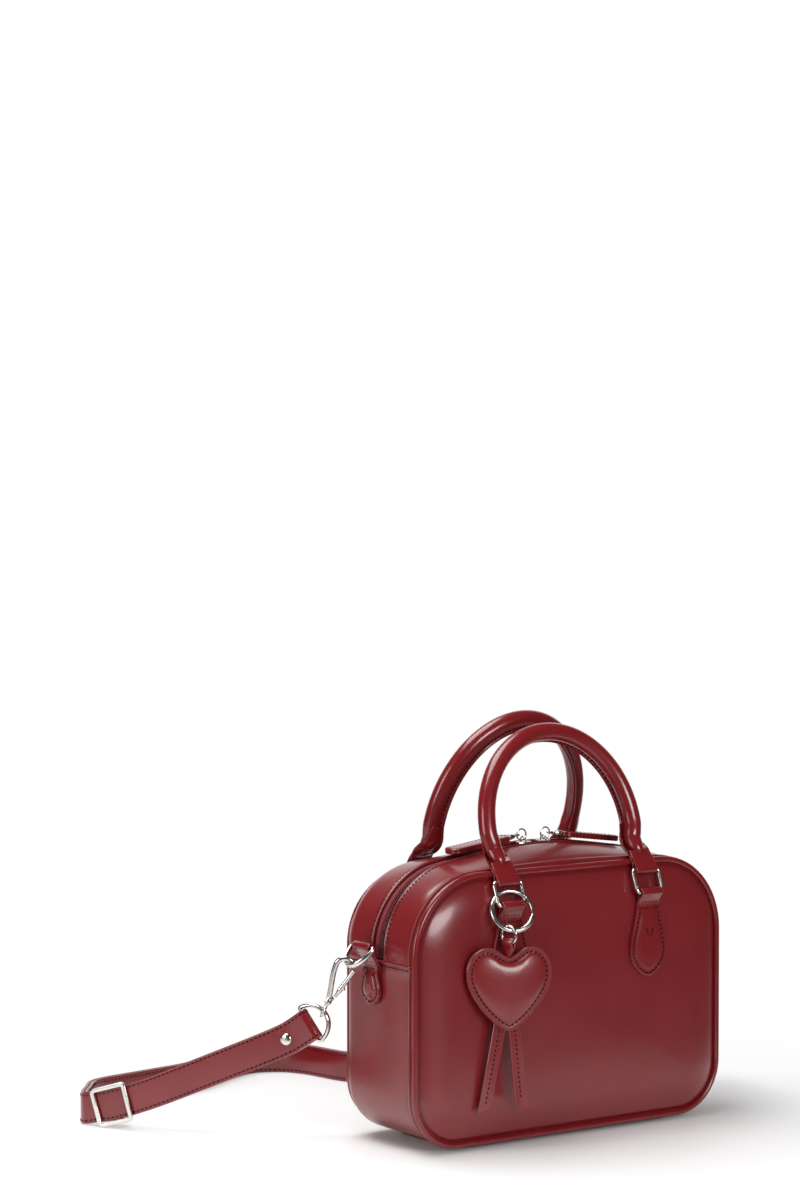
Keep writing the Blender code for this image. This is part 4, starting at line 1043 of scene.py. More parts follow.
    def base(self) -> None:
        """The base panel that the bag stands on; its stitches are not drawn."""
        thickness = self.lift - self.sewn_gap
        outline = rounded(self.base_length, self.base_width, self.base_corner, 8)
        levels = (
            (0.0008, 0.0), (0.0002, 0.0004), (0.0, 0.001), (0.0, thickness - 0.0006), (0.0006, thickness),
        )
        bm = bmesh.new()
        plate(bm, outline, levels, Matrix.Identity(4))
        make_piece("base_panel", bm, self.finishes.leather, name="base_leather")

    def build(self) -> None:
        """Make the whole body."""
        for face in Face:
            self.panel(face)
            self.piping(face)
            self.strip(face)
        self.band()
        self.base()


# Leaf tabs, handle rings and handles


@dataclass
class LeafTab:
    """A strap folded over a bar and sewn down as a padded leaf."""

    width: float = 0.0285
    height: float = 0.0455
    top: float = 0.0085
    back: float = -0.00465
    neck: float = 0.017
    thickness: float = 0.003
    layer: float = 0.0012
    wire: float = 0.0013
    bore: float = 0.00025
    shares: tuple = (
        (0.30, 0.00), (0.335, 0.12), (0.405, 0.30), (0.470, 0.46), (0.500, 0.58),
        (0.485, 0.70), (0.410, 0.82), (0.270, 0.92), (0.110, 0.985), (0.0, 1.0),
    )
    seam_inset: float = 0.0019
    seam: Stitch = TRIM_SEAM
    edge_foot: tuple = ((0.0003, 0.0), (0.0, 0.0003))
    edge_levels: tuple = ((0.0, 0.42), (0.0002, 0.48), (0.0, 0.54), (0.0, 0.86), (0.0002, 0.95))
    seam_levels: tuple = (
        (0.0006, 0.0), (0.0012, 0.0), (0.0014, 0.0003), (0.0023, 0.0003), (0.0026, 0.0), (0.0032, 0.0),
    )
    pillow: tuple = ((0.94, 0.0003), (0.84, 0.0006), (0.66, 0.0009), (0.4, 0.001), (0.15, 0.001))

    def outline(self) -> list[Pair]:
        """The leaf's closed outline, hanging down from its top edge, counter-clockwise."""
        right = smooth_pairs([(across * self.width, -down * self.height) for across, down in self.shares], 5)
        left = mirrored(right[:-1])
        top = [(left[-1][0] * share, 0.0) for share in (-0.66, -0.33, 0.0, 0.33, 0.66)]
        return list(reversed(right)) + top + list(reversed(left))

    def sew(self, node: str, bar: Vector, out: Vector, finishes: Finishes) -> None:
        """Make one tab.

        Args:
            node: The node that it stands for.
            bar: The middle of the bar that it holds.
            out: The direction away from the bag.
            finishes: The shared finishes.
        """
        leather, threads = bmesh.new(), bmesh.new()
        thick = self.thickness
        place = axes(bar + out * self.back - UP * self.top, UP.cross(out), UP)
        outline = self.outline()
        levels = [*self.edge_foot, *((inset, thick * share) for inset, share in self.edge_levels)]
        levels += [(inset, thick - drop) for inset, drop in self.seam_levels]
        rows = ring_rows(outline, levels, place)
        inner, middle = inset_ring(outline, levels[-1][0]), -self.height * 0.5
        for size, rise in self.pillow:
            z = thick + rise
            rows.append([place @ Vector((x * size, middle + (y - middle) * size, z)) for x, y in inner])
        loft(leather, rows)
        seam = inset_ring(outline, self.seam_inset)
        line = [place @ Vector((x, y, thick - 0.00014)) for x, y in [*seam, seam[0]]]
        stitches(threads, line, out, self.seam)
        middle = self.back + thick / 2
        split = (thick - self.layer) / 2
        pinch = self.layer / 2 + 0.00005
        radius = self.wire + self.bore + self.layer / 2
        low = self.top + 0.0045
        ends = [(middle, split, -low), (middle, split, -self.top), (middle * 0.5, pinch, -self.top * 0.55)]
        flat = [(a + apart, z) for a, apart, z in ends]
        flat += arc((0, 0), radius, radians(-40), radians(220), 12)
        flat += [(a - apart, z) for a, apart, z in reversed(ends)]
        line = smooth_line(laid(bar, out, UP, flat), 4)
        rows = frames_along(line, UP.cross(out))
        sweep(leather, [(y, x) for x, y in flat_band(self.neck, self.layer)], rows)
        across = UP.cross(out) * (self.neck * 0.41)
        share = bar + out * (middle * 0.72 + pinch + self.layer / 2 - 0.0001) - UP * (self.top * 0.74)
        slope = (out * (self.top * 0.45) - UP * (middle * 0.5)).normalized()
        stitches(threads, [share - across, share + across], slope, self.seam)
        make_piece(node, leather, finishes.soft_leather)
        make_piece(node, threads, finishes.thread)


@dataclass
class Carrying:
    """The four leaf tabs with their rings, and the two handles."""

    finishes: Finishes
    bag: BagBody
    tab: LeafTab = field(default_factory=LeafTab)
    spread: float = 0.055
    wire: float = 0.0013
    ring_width: float = 0.0206
    ring_height: float = 0.015
    ring_corner: float = 0.0022
    standoff: float = 0.00575
    drop: float = 0.0184
    tab_reach: float = 0.013
    tab_rise: float = 0.017
    tab_shares: tuple = ((0.0, 0.0), (0.2, 0.35), (0.53, 0.65), (1.0, 1.0))
    cord_radius: float = 0.0056
    fin_reach: float = 0.0079
    fin_half: float = 0.0011
    fin_turn: float = radians(38)
    leg: float = 0.0125
    dome: float = 0.012
    plain_end: float = 0.01
    seam_drop: float = 0.0021
    lap: float = 0.012
    fold_angles: Pair = (radians(65), radians(295))
    end_widths: tuple = (0.015, 0.0192, 0.0178, 0.009)
    seam: Stitch = TRIM_SEAM

    def lean(self, face: Face, ring: bool) -> float:
        """How far a ring or a handle leans in over the bag, in radians."""
        degrees = {Face.FRONT: (22.0, 15.5), Face.BACK: (8.0, 19.0)}[face]
        return radians(degrees[0 if ring else 1])

    def arch(self, face: Face) -> Pair:
        """Half the width of a handle's arch, and its rise."""
        return {Face.FRONT: (0.0573, 0.061), Face.BACK: (0.0563, 0.0685)}[face]

    def bars(self, face: Face) -> tuple[Pair, Pair]:
        """The lower and upper bar of a ring, as (outward, z)."""
        low = (self.bag.depth / 2 + self.bag.crown + self.standoff, self.bag.top_line - self.drop)
        lean = self.lean(face, ring=True)
        return low, (low[0] - self.ring_height * sin(lean), low[1] + self.ring_height * cos(lean))

    def ring(self, face: Face, side: Side) -> None:
        """One rectangular ring."""
        low, high = self.bars(face)
        across, rise = (low[0] + high[0]) / 2, (low[1] + high[1]) / 2
        middle = Vector((side.value * self.spread, face.value * across, rise))
        up = Vector((0, face.value * (high[0] - low[0]), high[1] - low[1])).normalized()
        outline = rounded(self.ring_width, self.ring_height, self.ring_corner, 6)
        points = laid(middle, RIGHT, up, outline)
        bm = bmesh.new()
        rod(bm, self.wire, 16, points, RIGHT.cross(up), cyclic=True)
        make_piece(f"handle_ring_{face.word}_{side.word}", bm, self.finishes.metal, face.word + "_rings")

    def chape(self, face: Face, side: Side) -> None:
        """The sewn leaf tab that carries one ring."""
        bar, _ = self.bars(face)
        middle = Vector((side.value * self.spread, face.value * bar[0], bar[1]))
        self.tab.sew(f"chape_{face.word}_{side.word}", middle, BACK * face.value, self.finishes)

    def tube_line(self, face: Face) -> list[Vector]:
        """The middle line of a handle's tube, from its left root to its right root."""
        sign, lean = face.value, self.lean(face, ring=False)
        _, high = self.bars(face)
        pivot = Vector((0, sign * high[0], high[1]))
        reach, rise = BACK * (-sign * self.tab_reach), UP * self.tab_rise
        low, top = self.tab_shares[1:3]
        across, share = (low[0] + top[0]) / 2, (low[1] + top[1]) / 2
        root = pivot + reach * across + rise * share
        base = pivot + reach + rise
        up = Vector((0, -sign * sin(lean), cos(lean)))
        half, arch_rise = self.arch(face)
        flat = [(self.spread, 0), ((self.spread + half) / 2, self.leg / 2)]
        flat += arc((0, self.leg), half, 0, pi, 18, arch_rise)
        flat += mirrored(flat[:2])
        points = [root + RIGHT * self.spread]
        points += [base + RIGHT * x + up * z for x, z in flat]
        points.append(root - RIGHT * self.spread)
        return smooth_line(points[::-1], 5)

    def tube_section(self) -> list[Pair]:
        """A covered cord with the sewn fin of its cover along one side, the fin towards +Y."""
        radius, half, tip = self.cord_radius, self.fin_half, self.fin_reach
        start = asin((half + 0.0006) / radius)
        points = arc((0, -0.0004), radius, pi / 2 + start, pi / 2 - start + tau, 26)
        fin = [(half, radius * 0.98), (half, tip - 0.0006), (half * 0.7, tip), (half * 0.12, tip - 0.0004)]
        return points + fin + mirrored(fin)

    def handle(self, face: Face) -> None:
        """One covered cord handle with its flat folded ends."""
        sign, lean = face.value, self.lean(face, ring=False)
        line = self.tube_line(face)
        inward = Vector((0, -sign * cos(lean), -sin(lean)))
        spin = Matrix.Rotation(sign * self.fin_turn, 4, "Z")
        frames = [matrix @ spin for matrix in frames_along(line, inward)]
        gone = distances(line)
        ends = [min(distance, gone[-1] - distance) for distance in gone]
        sizes = [max(0.15, sqrt(1 - (1 - min(1.0, end / self.dome)) ** 2)) for end in ends]
        leather, threads = bmesh.new(), bmesh.new()
        sweep(leather, self.tube_section(), frames, scales=[(size, size) for size in sizes])
        held = [matrix for matrix, end in zip(frames, ends) if end > self.plain_end]
        height = self.fin_reach - self.seam_drop
        for shift in (-1, 1):
            seam = [matrix @ Vector((shift * self.fin_half, height, 0)) for matrix in held]
            away = [matrix.to_3x3() @ Vector((shift, 0, 0)) for matrix in held]
            stitches(threads, seam, away, self.seam)
        for side in Side:
            self.handle_end(leather, face, side)
        name = "handle_" + face.word
        body = face.word + "_handle"
        make_piece(name, leather, self.finishes.soft_leather, body)
        make_piece(name, threads, self.finishes.thread, body)

    def handle_end(self, leather: Mesh, face: Face, side: Side) -> None:
        """The flat end of a handle, folded round its ring's upper bar.

        Args:
            leather: The leather that grows.
            face: The handle's face of the bag.
            side: The end.
        """
        sign, lean = face.value, self.lean(face, ring=False)
        out = BACK * sign
        _, high = self.bars(face)
        pivot = Vector((side.value * self.spread, sign * high[0], high[1]))
        middle = [(-a * self.tab_reach, b * self.tab_rise) for a, b in self.tab_shares]
        middle.append((middle[-1][0] - self.lap * sin(lean), middle[-1][1] + self.lap * cos(lean)))
        layer = self.tab.layer
        radius = self.wire + self.tab.bore + layer / 2
        toward = atan2(middle[1][1], middle[1][0])
        shift = layer / 2 + 0.0001

        def moved(index: int, amount: float) -> Pair:
            """A point of the middle line moved square to it."""
            before, after = middle[max(index - 1, 0)], middle[min(index + 1, len(middle) - 1)]
            run, rise = after[0] - before[0], after[1] - before[1]
            length = hypot(run, rise)
            return middle[index][0] + rise / length * amount, middle[index][1] - run / length * amount

        cord = self.cord_radius
        outer = [moved(2, 0.0004), moved(1, shift)]
        inner = [moved(1, -shift), moved(2, -cord * 0.5), moved(3, -cord), moved(4, -cord)]
        fold = arc((0, 0), radius, toward - self.fold_angles[0], toward - self.fold_angles[1], 9)
        neck = self.tab.neck
        plain = [neck] * (len(fold) + 2)
        widths = [self.end_widths[0], *plain, *self.end_widths[1:]]
        curls = [0.0] * (len(plain) + 1) + [0.36 / cord, 1 / (cord + layer), 1 / (cord + layer)]
        fine = smooth_line(laid(pivot, out, UP, outer + fold + inner), 3)
        rows = []
        for index, matrix in enumerate(frames_along(fine, RIGHT)):
            low = min(index // 3, len(widths) - 2)
            share = (index - low * 3) / 3
            width = widths[low] + (widths[low + 1] - widths[low]) * share
            curl = curls[low] + (curls[low + 1] - curls[low]) * share
            inwards = matrix.to_3x3().col[0].dot(out) < 0
            row = []
            for x, y in flat_band(width, layer, steps=3, middle=7):
                if curl > 1:
                    lift = (1 - cos(x * curl)) / curl
                    x = sin(x * curl) * (1 / curl + abs(y))
                    y += -lift if inwards else lift
                row.append(matrix @ Vector((y, x, 0)))
            rows.append(row)
        loft(leather, rows)

    def build(self) -> None:
        """Make the tabs, rings and handles."""
        for face in Face:
            for side in Side:
                self.chape(face, side)
                self.ring(face, side)
            self.handle(face)


# Inside


@dataclass
class Inside:
    """The cloth lining, the pocket and the hidden boards."""

    finishes: Finishes
    bag: BagBody
    lining: float = 0.0006
    gap: float = 0.0008
    seam_gap: float = 0.0003
    board: float = 0.0012
    rows: Pair = (0.2, 0.72)
    seam: float = 0.0023
    pocket_size: Pair = (0.12, 0.085)
    pocket_corner: float = 0.01
    pocket_rise: float = 0.035
    pocket_thickness: float = 0.0008
    pouch_cut: Pair = (0.4, 0.42)

    def wall(self) -> float:
        """From the middle of the bag to the middle of the lining's front wall."""
        return self.bag.depth / 2 - self.bag.skin / 2 - self.board - 2 * self.seam_gap - self.lining / 2

    def pouch(self) -> None:
        """The cloth pouch, open along the zip."""
        bag, wall = self.bag, self.wall()
        inset = bag.skin + self.gap + self.lining / 2
        high = bag.zip_end - 2 * self.seam_gap
        path = [(bag.width / 2, high, 1, 0), *bag.upper_path()[1:-1], (-bag.width / 2, high, -1, 0)]
        path += bag.lower_path()[4:-4]
        slot, shoulder = (
            bag.zip_slot + (bag.depth / 2 - self.seam - bag.zip_slot) * share for share in self.rows
        )
        rows = []
        for y in (-wall, -shoulder, -slot, 0.0, slot, shoulder, wall):
            rolled = bag.back_roll[1] if y == wall else 0.0
            under = [max(0.0, -point[3]) * (self.board + self.seam_gap) + rolled for point in path]
            rows.append([bag.skin_point(point, y, -inset - drop) for point, drop in zip(path, under)])
        bm = bmesh.new()
        loft(bm, rows)
        slot_faces = [
            face for face in bm.faces
            if abs(face.calc_center_median().y) < slot and face.calc_center_median().z > high
        ]
        bmesh.ops.delete(bm, geom=slot_faces, context="FACES")
        bmesh.ops.recalc_face_normals(bm, faces=bm.faces)
        area = sum(face.calc_area() for face in bm.faces)
        bmesh.ops.solidify(bm, geom=bm.faces, thickness=self.lining)
        piece = make_piece("lining", bm, self.finishes.lining, name="lining_pouch")

    def pocket(self) -> None:
        """The patch pocket on the back wall."""
        width, height = self.pocket_size
        y = self.wall() - self.lining / 2 - self.seam_gap - self.pocket_thickness
        place = axes(Vector((0, y, self.pocket_rise + height / 2)), RIGHT, -UP)
        bm = bmesh.new()
        thick = self.pocket_thickness
        plate(bm, rounded(width, height, self.pocket_corner, 6), ((0, 0), (0, thick)), place)
        piece = make_piece("inner_pocket", bm, self.finishes.lining, name="pocket_cloth")

    def back_board(self) -> None:
        """The stiff board behind the back panel, clear of its rolled edge."""
        low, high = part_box("back_stiffener")
        drawn = self.bag.drawn_in(Face.BACK)
        outline = [(x, z) for x, z, _, _ in self.bag.outline(self.bag.skin + self.gap + self.seam + drawn)]
        bm = bmesh.new()
        loft(bm, [[Vector((x, y, z)) for x, z in outline] for y in (low[1], high[1])])
        make_piece("back_stiffener", bm, self.finishes.board, name="back_board")

    def build(self) -> None:
        """Make the lining and the pocket, and dress the boards."""
        self.pouch()
        self.pocket()
        self.back_board()
        for name in ("front_stiffener", "base_board"):
            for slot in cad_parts[name].material_slots:
                slot.material = self.finishes.board.material


# Zip


@dataclass
class ZipFastening:
    """The two woven tapes, the coil teeth and the two sliders with their pulls."""

    finishes: Finishes
    bag: BagBody
    tape: float = 0.0007
    tape_hidden: float = 0.003
    teeth_half: float = 0.00225
    tooth_pitch: float = 0.00135
    arc_radius: float = 0.32
    place: float = 0.008
    length: float = 0.0095
    plate_thickness: float = 0.0012
    wall: float = 0.00115
    side_gap: float = 0.0004
    arch_wire: float = 0.0006
    arch_height: float = 0.0028
    arch_half: float = 0.0026
    link_radius: float = 0.0036
    link_wire: float = 0.00055
    link_angle: float = radians(50)
    play: float = 0.00025
    eye_radius: float = 0.0017
    eye_wire: float = 0.0006
    clamp_length: float = 0.006
    clamp_width: float = 0.0062
    clamp_height: float = 0.0034
    tab_length: float = 0.046
    tab_width: float = 0.0135
    tab_thickness: float = 0.0036
    tab_slope: float = radians(6)
    gap: float = 0.0003
    teeth_thickness: float = 0.0018
    slim_arch: float = 0.85
    slim_link: float = 0.94
    shield: tuple = ((1.0, 0.62), (0.55, 0.86), (0.0, 0.93), (-0.55, 1.0), (-1.0, 0.9))
    plate_edge: tuple = ((0.0, 0.0), (0.0, 0.55), (0.00025, 0.9), (0.0006, 1.0))
    lip_share: float = 0.4
    arch_bend: float = 2.2
    clamp_shape: tuple = (
        (0.0, 0.42, 0.45), (0.05, 0.55, 0.6), (0.5, 0.86, 0.84), (0.92, 1.0, 1.0), (1.0, 0.94, 0.9),
    )
    seam: Stitch = Stitch(length=0.0019, width=0.0009)
    seam_inset: float = 0.0019

    @property
    def level(self) -> float:
        """The height of the tape's middle over the gusset's skin."""
        return -(self.bag.skin + self.gap + self.tape / 2)

    def tapes(self) -> None:
        """The tape at each side of the teeth."""
        far, near = self.bag.zip_slot + self.tape_hidden, self.teeth_half + self.gap
        half = self.tape / 2
        section = [(far, -half), (far, half)]
        section += [(near + (far - near) * share, half) for share in (0.8, 0.6, 0.4)]
        section += [
            (near + 0.0010, half), (near + 0.0007, half + 0.00016), (near + 0.0003, half), (near, 0.0),
            (near + 0.0002, -half),
        ]
        for face in Face:
            rows = [
                [self.bag.skin_point(point, face.value * y, self.level + z) for y, z in section]
                for point in self.bag.upper_path()
            ]
            bm = bmesh.new()
            loft(bm, rows)
            make_piece("zip_tape_" + face.word, bm, self.finishes.tape)

    def teeth(self) -> None:
        """The coil: one row of small loops from each tape, interlocked along the middle."""
        path = self.bag.upper_path()
        line = [self.bag.skin_point(point, 0.0, self.level) for point in path]
        normals = [self.bag.skin_normal(point, 0.0) for point in path]
        bm = bmesh.new()
        size = Vector((self.tooth_pitch * 0.44, self.teeth_half * 0.56, self.teeth_thickness * 0.5))
        bead = bead_shape(8, 5)
        for place, ahead, index in resampled(line, self.tooth_pitch):
            for sign in (-1, 1):
                up = normals[index]
                side = up.cross(ahead).normalized()
                centre = place + side * (sign * self.teeth_half * 0.46)
                centre += ahead * (sign * self.tooth_pitch * 0.25)
                add_bead(bm, bead, columns(centre, ahead * size.x, side * size.y, up * size.z))
        make_piece("zip_teeth", bm, self.finishes.nylon, name="zip_coil")

    def slider_frame(self, side: Side) -> Matrix:
        """A slider's place: X runs outwards along the zip, Z away from the bag."""
        sign = side.value
        turn = sign * self.place / self.arc_radius
        up = Vector((sin(turn), 0, cos(turn)))
        out = Vector((sign * cos(turn), 0, -sign * sin(turn)))
        top = self.bag.top_line + self.bag.top_rise
        face = top - self.bag.skin - self.gap - self.tape / 2 + self.teeth_thickness / 2 + self.gap
        centre = Vector((0, 0, top - self.arc_radius))
        return axes(centre + up * (face - centre.z), out, up.cross(out))

    def slider(self, side: Side) -> None:
        """The slider: a waisted shield over the teeth, its two lips and the arch on top."""
        place = self.slider_frame(side)
        inner = self.teeth_half + self.side_gap
        outer = inner + self.wall
        half, thick = self.length / 2, self.plate_thickness
        lip = self.teeth_thickness / 2 - self.tape / 2
        ahead = half * self.lip_share
        shield = [(half * a, outer * b) for a, b in self.shield]
        other = [(a, -b) for a, b in reversed(shield)]
        bm = bmesh.new()
        levels = [(inset, thick * share) for inset, share in self.plate_edge]
        plate(bm, other[-1:] + shield + other[:-1], levels, place)
        for sign in (-1, 1):
            near, far = sign * inner, sign * outer
            lips = [(-half, far), (-half, near), (ahead, near), (ahead, far)]
            plate(bm, lips[:: -1 if sign > 0 else 1], ((0.0, -lip), (0.0, 0.0001)), place)
        top = thick + self.arch_height
        foot = thick - self.arch_wire / 2
        bend = self.arch_wire * self.arch_bend
        profile = [(-self.arch_half, foot), (-self.arch_half, top - bend), (bend - self.arch_half, top)]
        profile += mirrored(profile)
        line = smooth_line([place @ Vector((0, y, z)) for y, z in profile], 5)
        rod(bm, self.arch_wire * self.slim_arch, 12, line, place.to_3x3().col[0])
        make_piece("zip_slider_" + side.word, bm, self.finishes.metal, "slider_" + side.word)

    def pull(self, side: Side) -> None:
        """A pull: a round link through the arch, a polished wedge clamp and a thick leather tab."""
        frame_matrix = self.slider_frame(side)
        turn = frame_matrix.to_3x3()
        out, up = turn.col[0], turn.col[2]
        body = "pull_" + side.word
        pivot = frame_matrix @ Vector((0, 0, self.plate_thickness + self.arch_height))
        reach = self.link_radius - self.link_wire - self.arch_wire - self.play
        centre = pivot + (out * cos(self.link_angle) + up * sin(self.link_angle)) * reach
        bm = bmesh.new()
        hoop(bm, centre, out, up, self.link_radius, self.link_wire * self.slim_link, 10, 32)
        make_piece("pull_link_" + side.word, bm, self.finishes.metal, body)
        along = out * cos(self.tab_slope) - up * sin(self.tab_slope)
        play = self.eye_radius - self.eye_wire - self.link_wire - self.play
        eye = centre + out * self.link_radius + along * play
        bm = bmesh.new()
        hoop(bm, eye, along, BACK, self.eye_radius, self.eye_wire, 8, 24)
        start = eye + along * self.eye_radius
        rows = []
        for share, wide, high in self.clamp_shape:
            centre_line = axes(start + along * (self.clamp_length * share), along.cross(BACK), BACK)
            shape = rounded(self.clamp_height * high, self.clamp_width * wide, 0.0007, 3)
            rows.append([centre_line @ Vector((x, y, 0)) for x, y in shape])
        loft(bm, rows)
        make_piece("pull_clamp_" + side.word, bm, self.finishes.metal, body)
        self.pull_tab(side, start + along * (self.clamp_length + self.gap), along)

    def pull_tab(self, side: Side, start: Vector, along: Vector) -> None:
        """The thick two-layer leather tab of a pull."""
        half = self.tab_thickness / 2
        place = axes(start + along * (self.tab_length / 2), along, BACK)
        outline = rounded(self.tab_length, self.tab_width, self.tab_width * 0.36, 7)
        face = [(0.0009, half), (0.0004, half - 0.00012), (0.0, half - 0.0006), (0.0, 0.0003)]
        levels = [(inset, -height) for inset, height in face] + [(0.0002, 0.0)] + face[::-1]
        bm = bmesh.new()
        plate(bm, outline, levels, place)
        node = "pull_tab_" + side.word
        body = "pull_" + side.word
        make_piece(node, bm, self.finishes.soft_leather, body)
        threads = bmesh.new()
        seam = inset_ring(outline, self.seam_inset)
        for sign in (-1, 1):
            line = [place @ Vector((x, y, sign * (half - 0.0001))) for x, y in [*seam, seam[0]]]
            stitches(threads, line, place.to_3x3().col[2] * sign, self.seam)
        make_piece(node, threads, self.finishes.thread, body)

    def build(self) -> None:
        """Make the whole zip."""
        self.tapes()
        self.teeth()
        for side in Side:
            self.slider(side)
            self.pull(side)


# Side tabs, D-rings and snap hooks


@dataclass
class SideClips:
    """What joins the strap to both sides: a leaf tab, a D-ring and a trigger snap hook."""

    finishes: Finishes
    bag: BagBody
    standoff: float = 0.0077
    depth_place: float = 0.005
    bar_rise: float = 0.008
    d_wire: float = 0.0014
    d_half: float = 0.0115
    d_depth: float = 0.0148
    droop: float = radians(47)
    turn: float = radians(32.2)
    pitch: float = radians(27.6)
    roll: float = radians(22)
    grip: float = radians(75)
    reach: float = 0.034
    shift: float = 0.0005
    wire: float = 0.001725
    ear_wire: float = 0.0012
    ear_gap: float = 0.0014
    top: float = 0.0315
    top_radius: float = 0.0058
    nose_turn: float = radians(-64)
    arm_shares: tuple = ((0.0, 0.0), (0.36, 0.42), (0.74, 0.86))
    collar_start: float = 0.0057
    collar_length: float = 0.0042
    collar_radius: float = 0.0022
    trigger_start: float = 0.0115
    trigger_side: float = 0.0021
    trigger_end: float = 0.0305
    trigger_end_side: float = 0.0054
    trigger_radius: float = 0.0012
    swivel_radius: float = 0.0033
    swivel_wire: float = 0.001
    swivel_post: float = 0.0011
    gap: float = 0.0003

    @property
    def tab(self) -> LeafTab:
        """The side tabs' sizes."""
        back = self.gap - self.standoff
        return LeafTab(width=0.0195, height=0.024, top=0.0125, back=back, wire=self.d_wire)

    def bar(self, side: Side) -> Vector:
        """The middle of a side D-ring's straight bar."""
        across = side.value * (self.bag.width / 2 + self.standoff)
        return Vector((across, self.depth_place, self.bag.zip_end + self.bar_rise))

    def ring_axis(self, side: Side) -> Vector:
        """The direction in which a side D-ring droops."""
        return Vector((side.value * cos(self.droop), 0, -sin(self.droop)))

    def level(self, side: Side) -> Vector:
        """The level direction in which the strap leaves one side."""
        return Vector((side.value * sin(self.turn), cos(self.turn), 0))

    def hook_axes(self, side: Side) -> tuple[Vector, Vector, Vector]:
        """A hook's axis up from the swivel, the direction across it in its plane, and the square to both."""
        level = self.level(side)
        along = UP * cos(self.pitch) - level * sin(self.pitch)
        across = UP * sin(self.pitch) + level * cos(self.pitch)
        across = Matrix.Rotation(-side.value * self.roll, 3, along) @ across
        return along, across, along.cross(across)

    def origin(self, side: Side) -> Vector:
        """Where the swivel eye grips the strap ring."""
        along, across, _ = self.hook_axes(side)
        crossing = self.bar(side) + BACK * (self.d_half * cos(self.grip))
        crossing += self.ring_axis(side) * (self.d_depth * sin(self.grip))
        return crossing - along * self.reach + across * self.shift

    def point(self, side: Side, rise: float, shift: float) -> Vector:
        """A point of the hook's plane, from the swivel eye."""
        along, across, _ = self.hook_axes(side)
        return self.origin(side) + along * rise + across * shift

    def d_ring(
        self, bm: Mesh, centre: Vector, bar_axis: Vector, out_axis: Vector, half: float,
        depth: float, wire: float,
    ) -> None:
        """A D-ring that is round at its bar and a flatter band round its bow.

        Args:
            bm: The mesh that grows.
            centre: The middle of its bar.
            bar_axis: The bar's direction.
            out_axis: The direction in which it bows.
            half: Half the bar's length.
            depth: How far it bows.
            wire: Its radius at the bar.
        """
        flat = [(-0.86, 0.0), (-0.4, 0.0), (0.0, 0.0), (0.4, 0.0), (0.86, 0.0)]
        flat += [(cos(a), sin(a)) for a in (radians(5 + 10 * step) for step in range(18))]
        points = laid(centre, bar_axis * half, out_axis * depth, flat)
        line = smooth_line(points, 3, cyclic=True)
        scales = []
        for place in line:
            bow = max(0.0, min(1.0, (place - centre).dot(out_axis) / depth * 1.6))
            scales.append((1 - 0.05 * bow, 1.05 + 0.4 * bow))
        rod(bm, wire, 12, line, bar_axis.cross(out_axis), True, scales)

    def side_tab(self, side: Side) -> None:
        """The sewn tab at one end of the zip, and its D-ring."""
        self.tab.sew("side_tab_" + side.word, self.bar(side), RIGHT * side.value, self.finishes)
        bm = bmesh.new()
        self.d_ring(bm, self.bar(side), BACK, self.ring_axis(side), self.d_half, self.d_depth, self.d_wire)
        make_piece("side_ring_" + side.word, bm, self.finishes.metal)

    def hook(self, side: Side) -> None:
        """The teardrop body of a hook with its collar and the ear that holds its trigger."""
        along, across, normal = self.hook_axes(side)
        start = self.collar_start + self.collar_length / 2
        arm = []
        for rise, shift in self.arm_shares:
            arm.append(self.point(side, start + (self.top - start) * rise, self.top_radius * shift))
        top = self.point(side, self.top, 0)
        arm += round_points(top, along, across, self.top_radius, pi / 2, self.nose_turn, steps=10)
        line = smooth_line(arm, 4)
        scales = []
        for index in range(len(line)):
            size = 1.0 - 0.6 * max(0.0, index / (len(line) - 1) - 0.8)
            scales.append((size, size))
        bm = bmesh.new()
        rod(bm, self.wire, 14, line, normal, scales=scales)
        ear = self.point(side, self.trigger_start - self.ear_gap, -self.trigger_side)
        rod(bm, self.ear_wire, 12, [self.point(side, start, 0), ear], normal)
        radius, long = self.collar_radius, self.collar_length
        profile = [(0.0, 0.0), (radius * 0.8, 0.0), (radius, long * 0.08), (radius, long * 0.3)]
        for step in (0.36, 0.5, 0.64):
            profile += [(radius * 0.88, long * step), (radius, long * (step + 0.07))]
        profile += [(radius, long * 0.9), (radius * 0.8, long), (0.0, long)]
        turned(bm, profile, axes(self.point(side, self.collar_start, 0), across, normal))
        make_piece("snap_hook_" + side.word, bm, self.finishes.metal)

    def trigger(self, side: Side) -> None:
        """A hook's gate with its thumb knob."""
        along, across, normal = self.hook_axes(side)
        pivot = self.point(side, self.trigger_start, -self.trigger_side)
        tip = self.point(side, self.trigger_end, -self.trigger_end_side)
        line = [pivot.lerp(tip, step / 12) - across * 0.0003 for step in range(14)]
        scales = [(0.85, 0.85), (0.9, 0.9), (1.0, 1.0), *[(1.4, 1.3)] * 2, *[(1.2, 1.15)] * 9]
        bm = bmesh.new()
        rod(bm, self.trigger_radius, 12, line, normal, scales=scales)
        thumb = pivot.lerp(tip, 0.36) - across * (self.trigger_radius + 0.0006)
        matrix = columns(thumb, across * 0.0012, normal * 0.0011, along * 0.0011)
        bmesh.ops.create_uvsphere(bm, u_segments=12, v_segments=8, radius=1.0, matrix=matrix)
        make_piece("hook_trigger_" + side.word, bm, self.finishes.metal, "trigger_" + side.word)

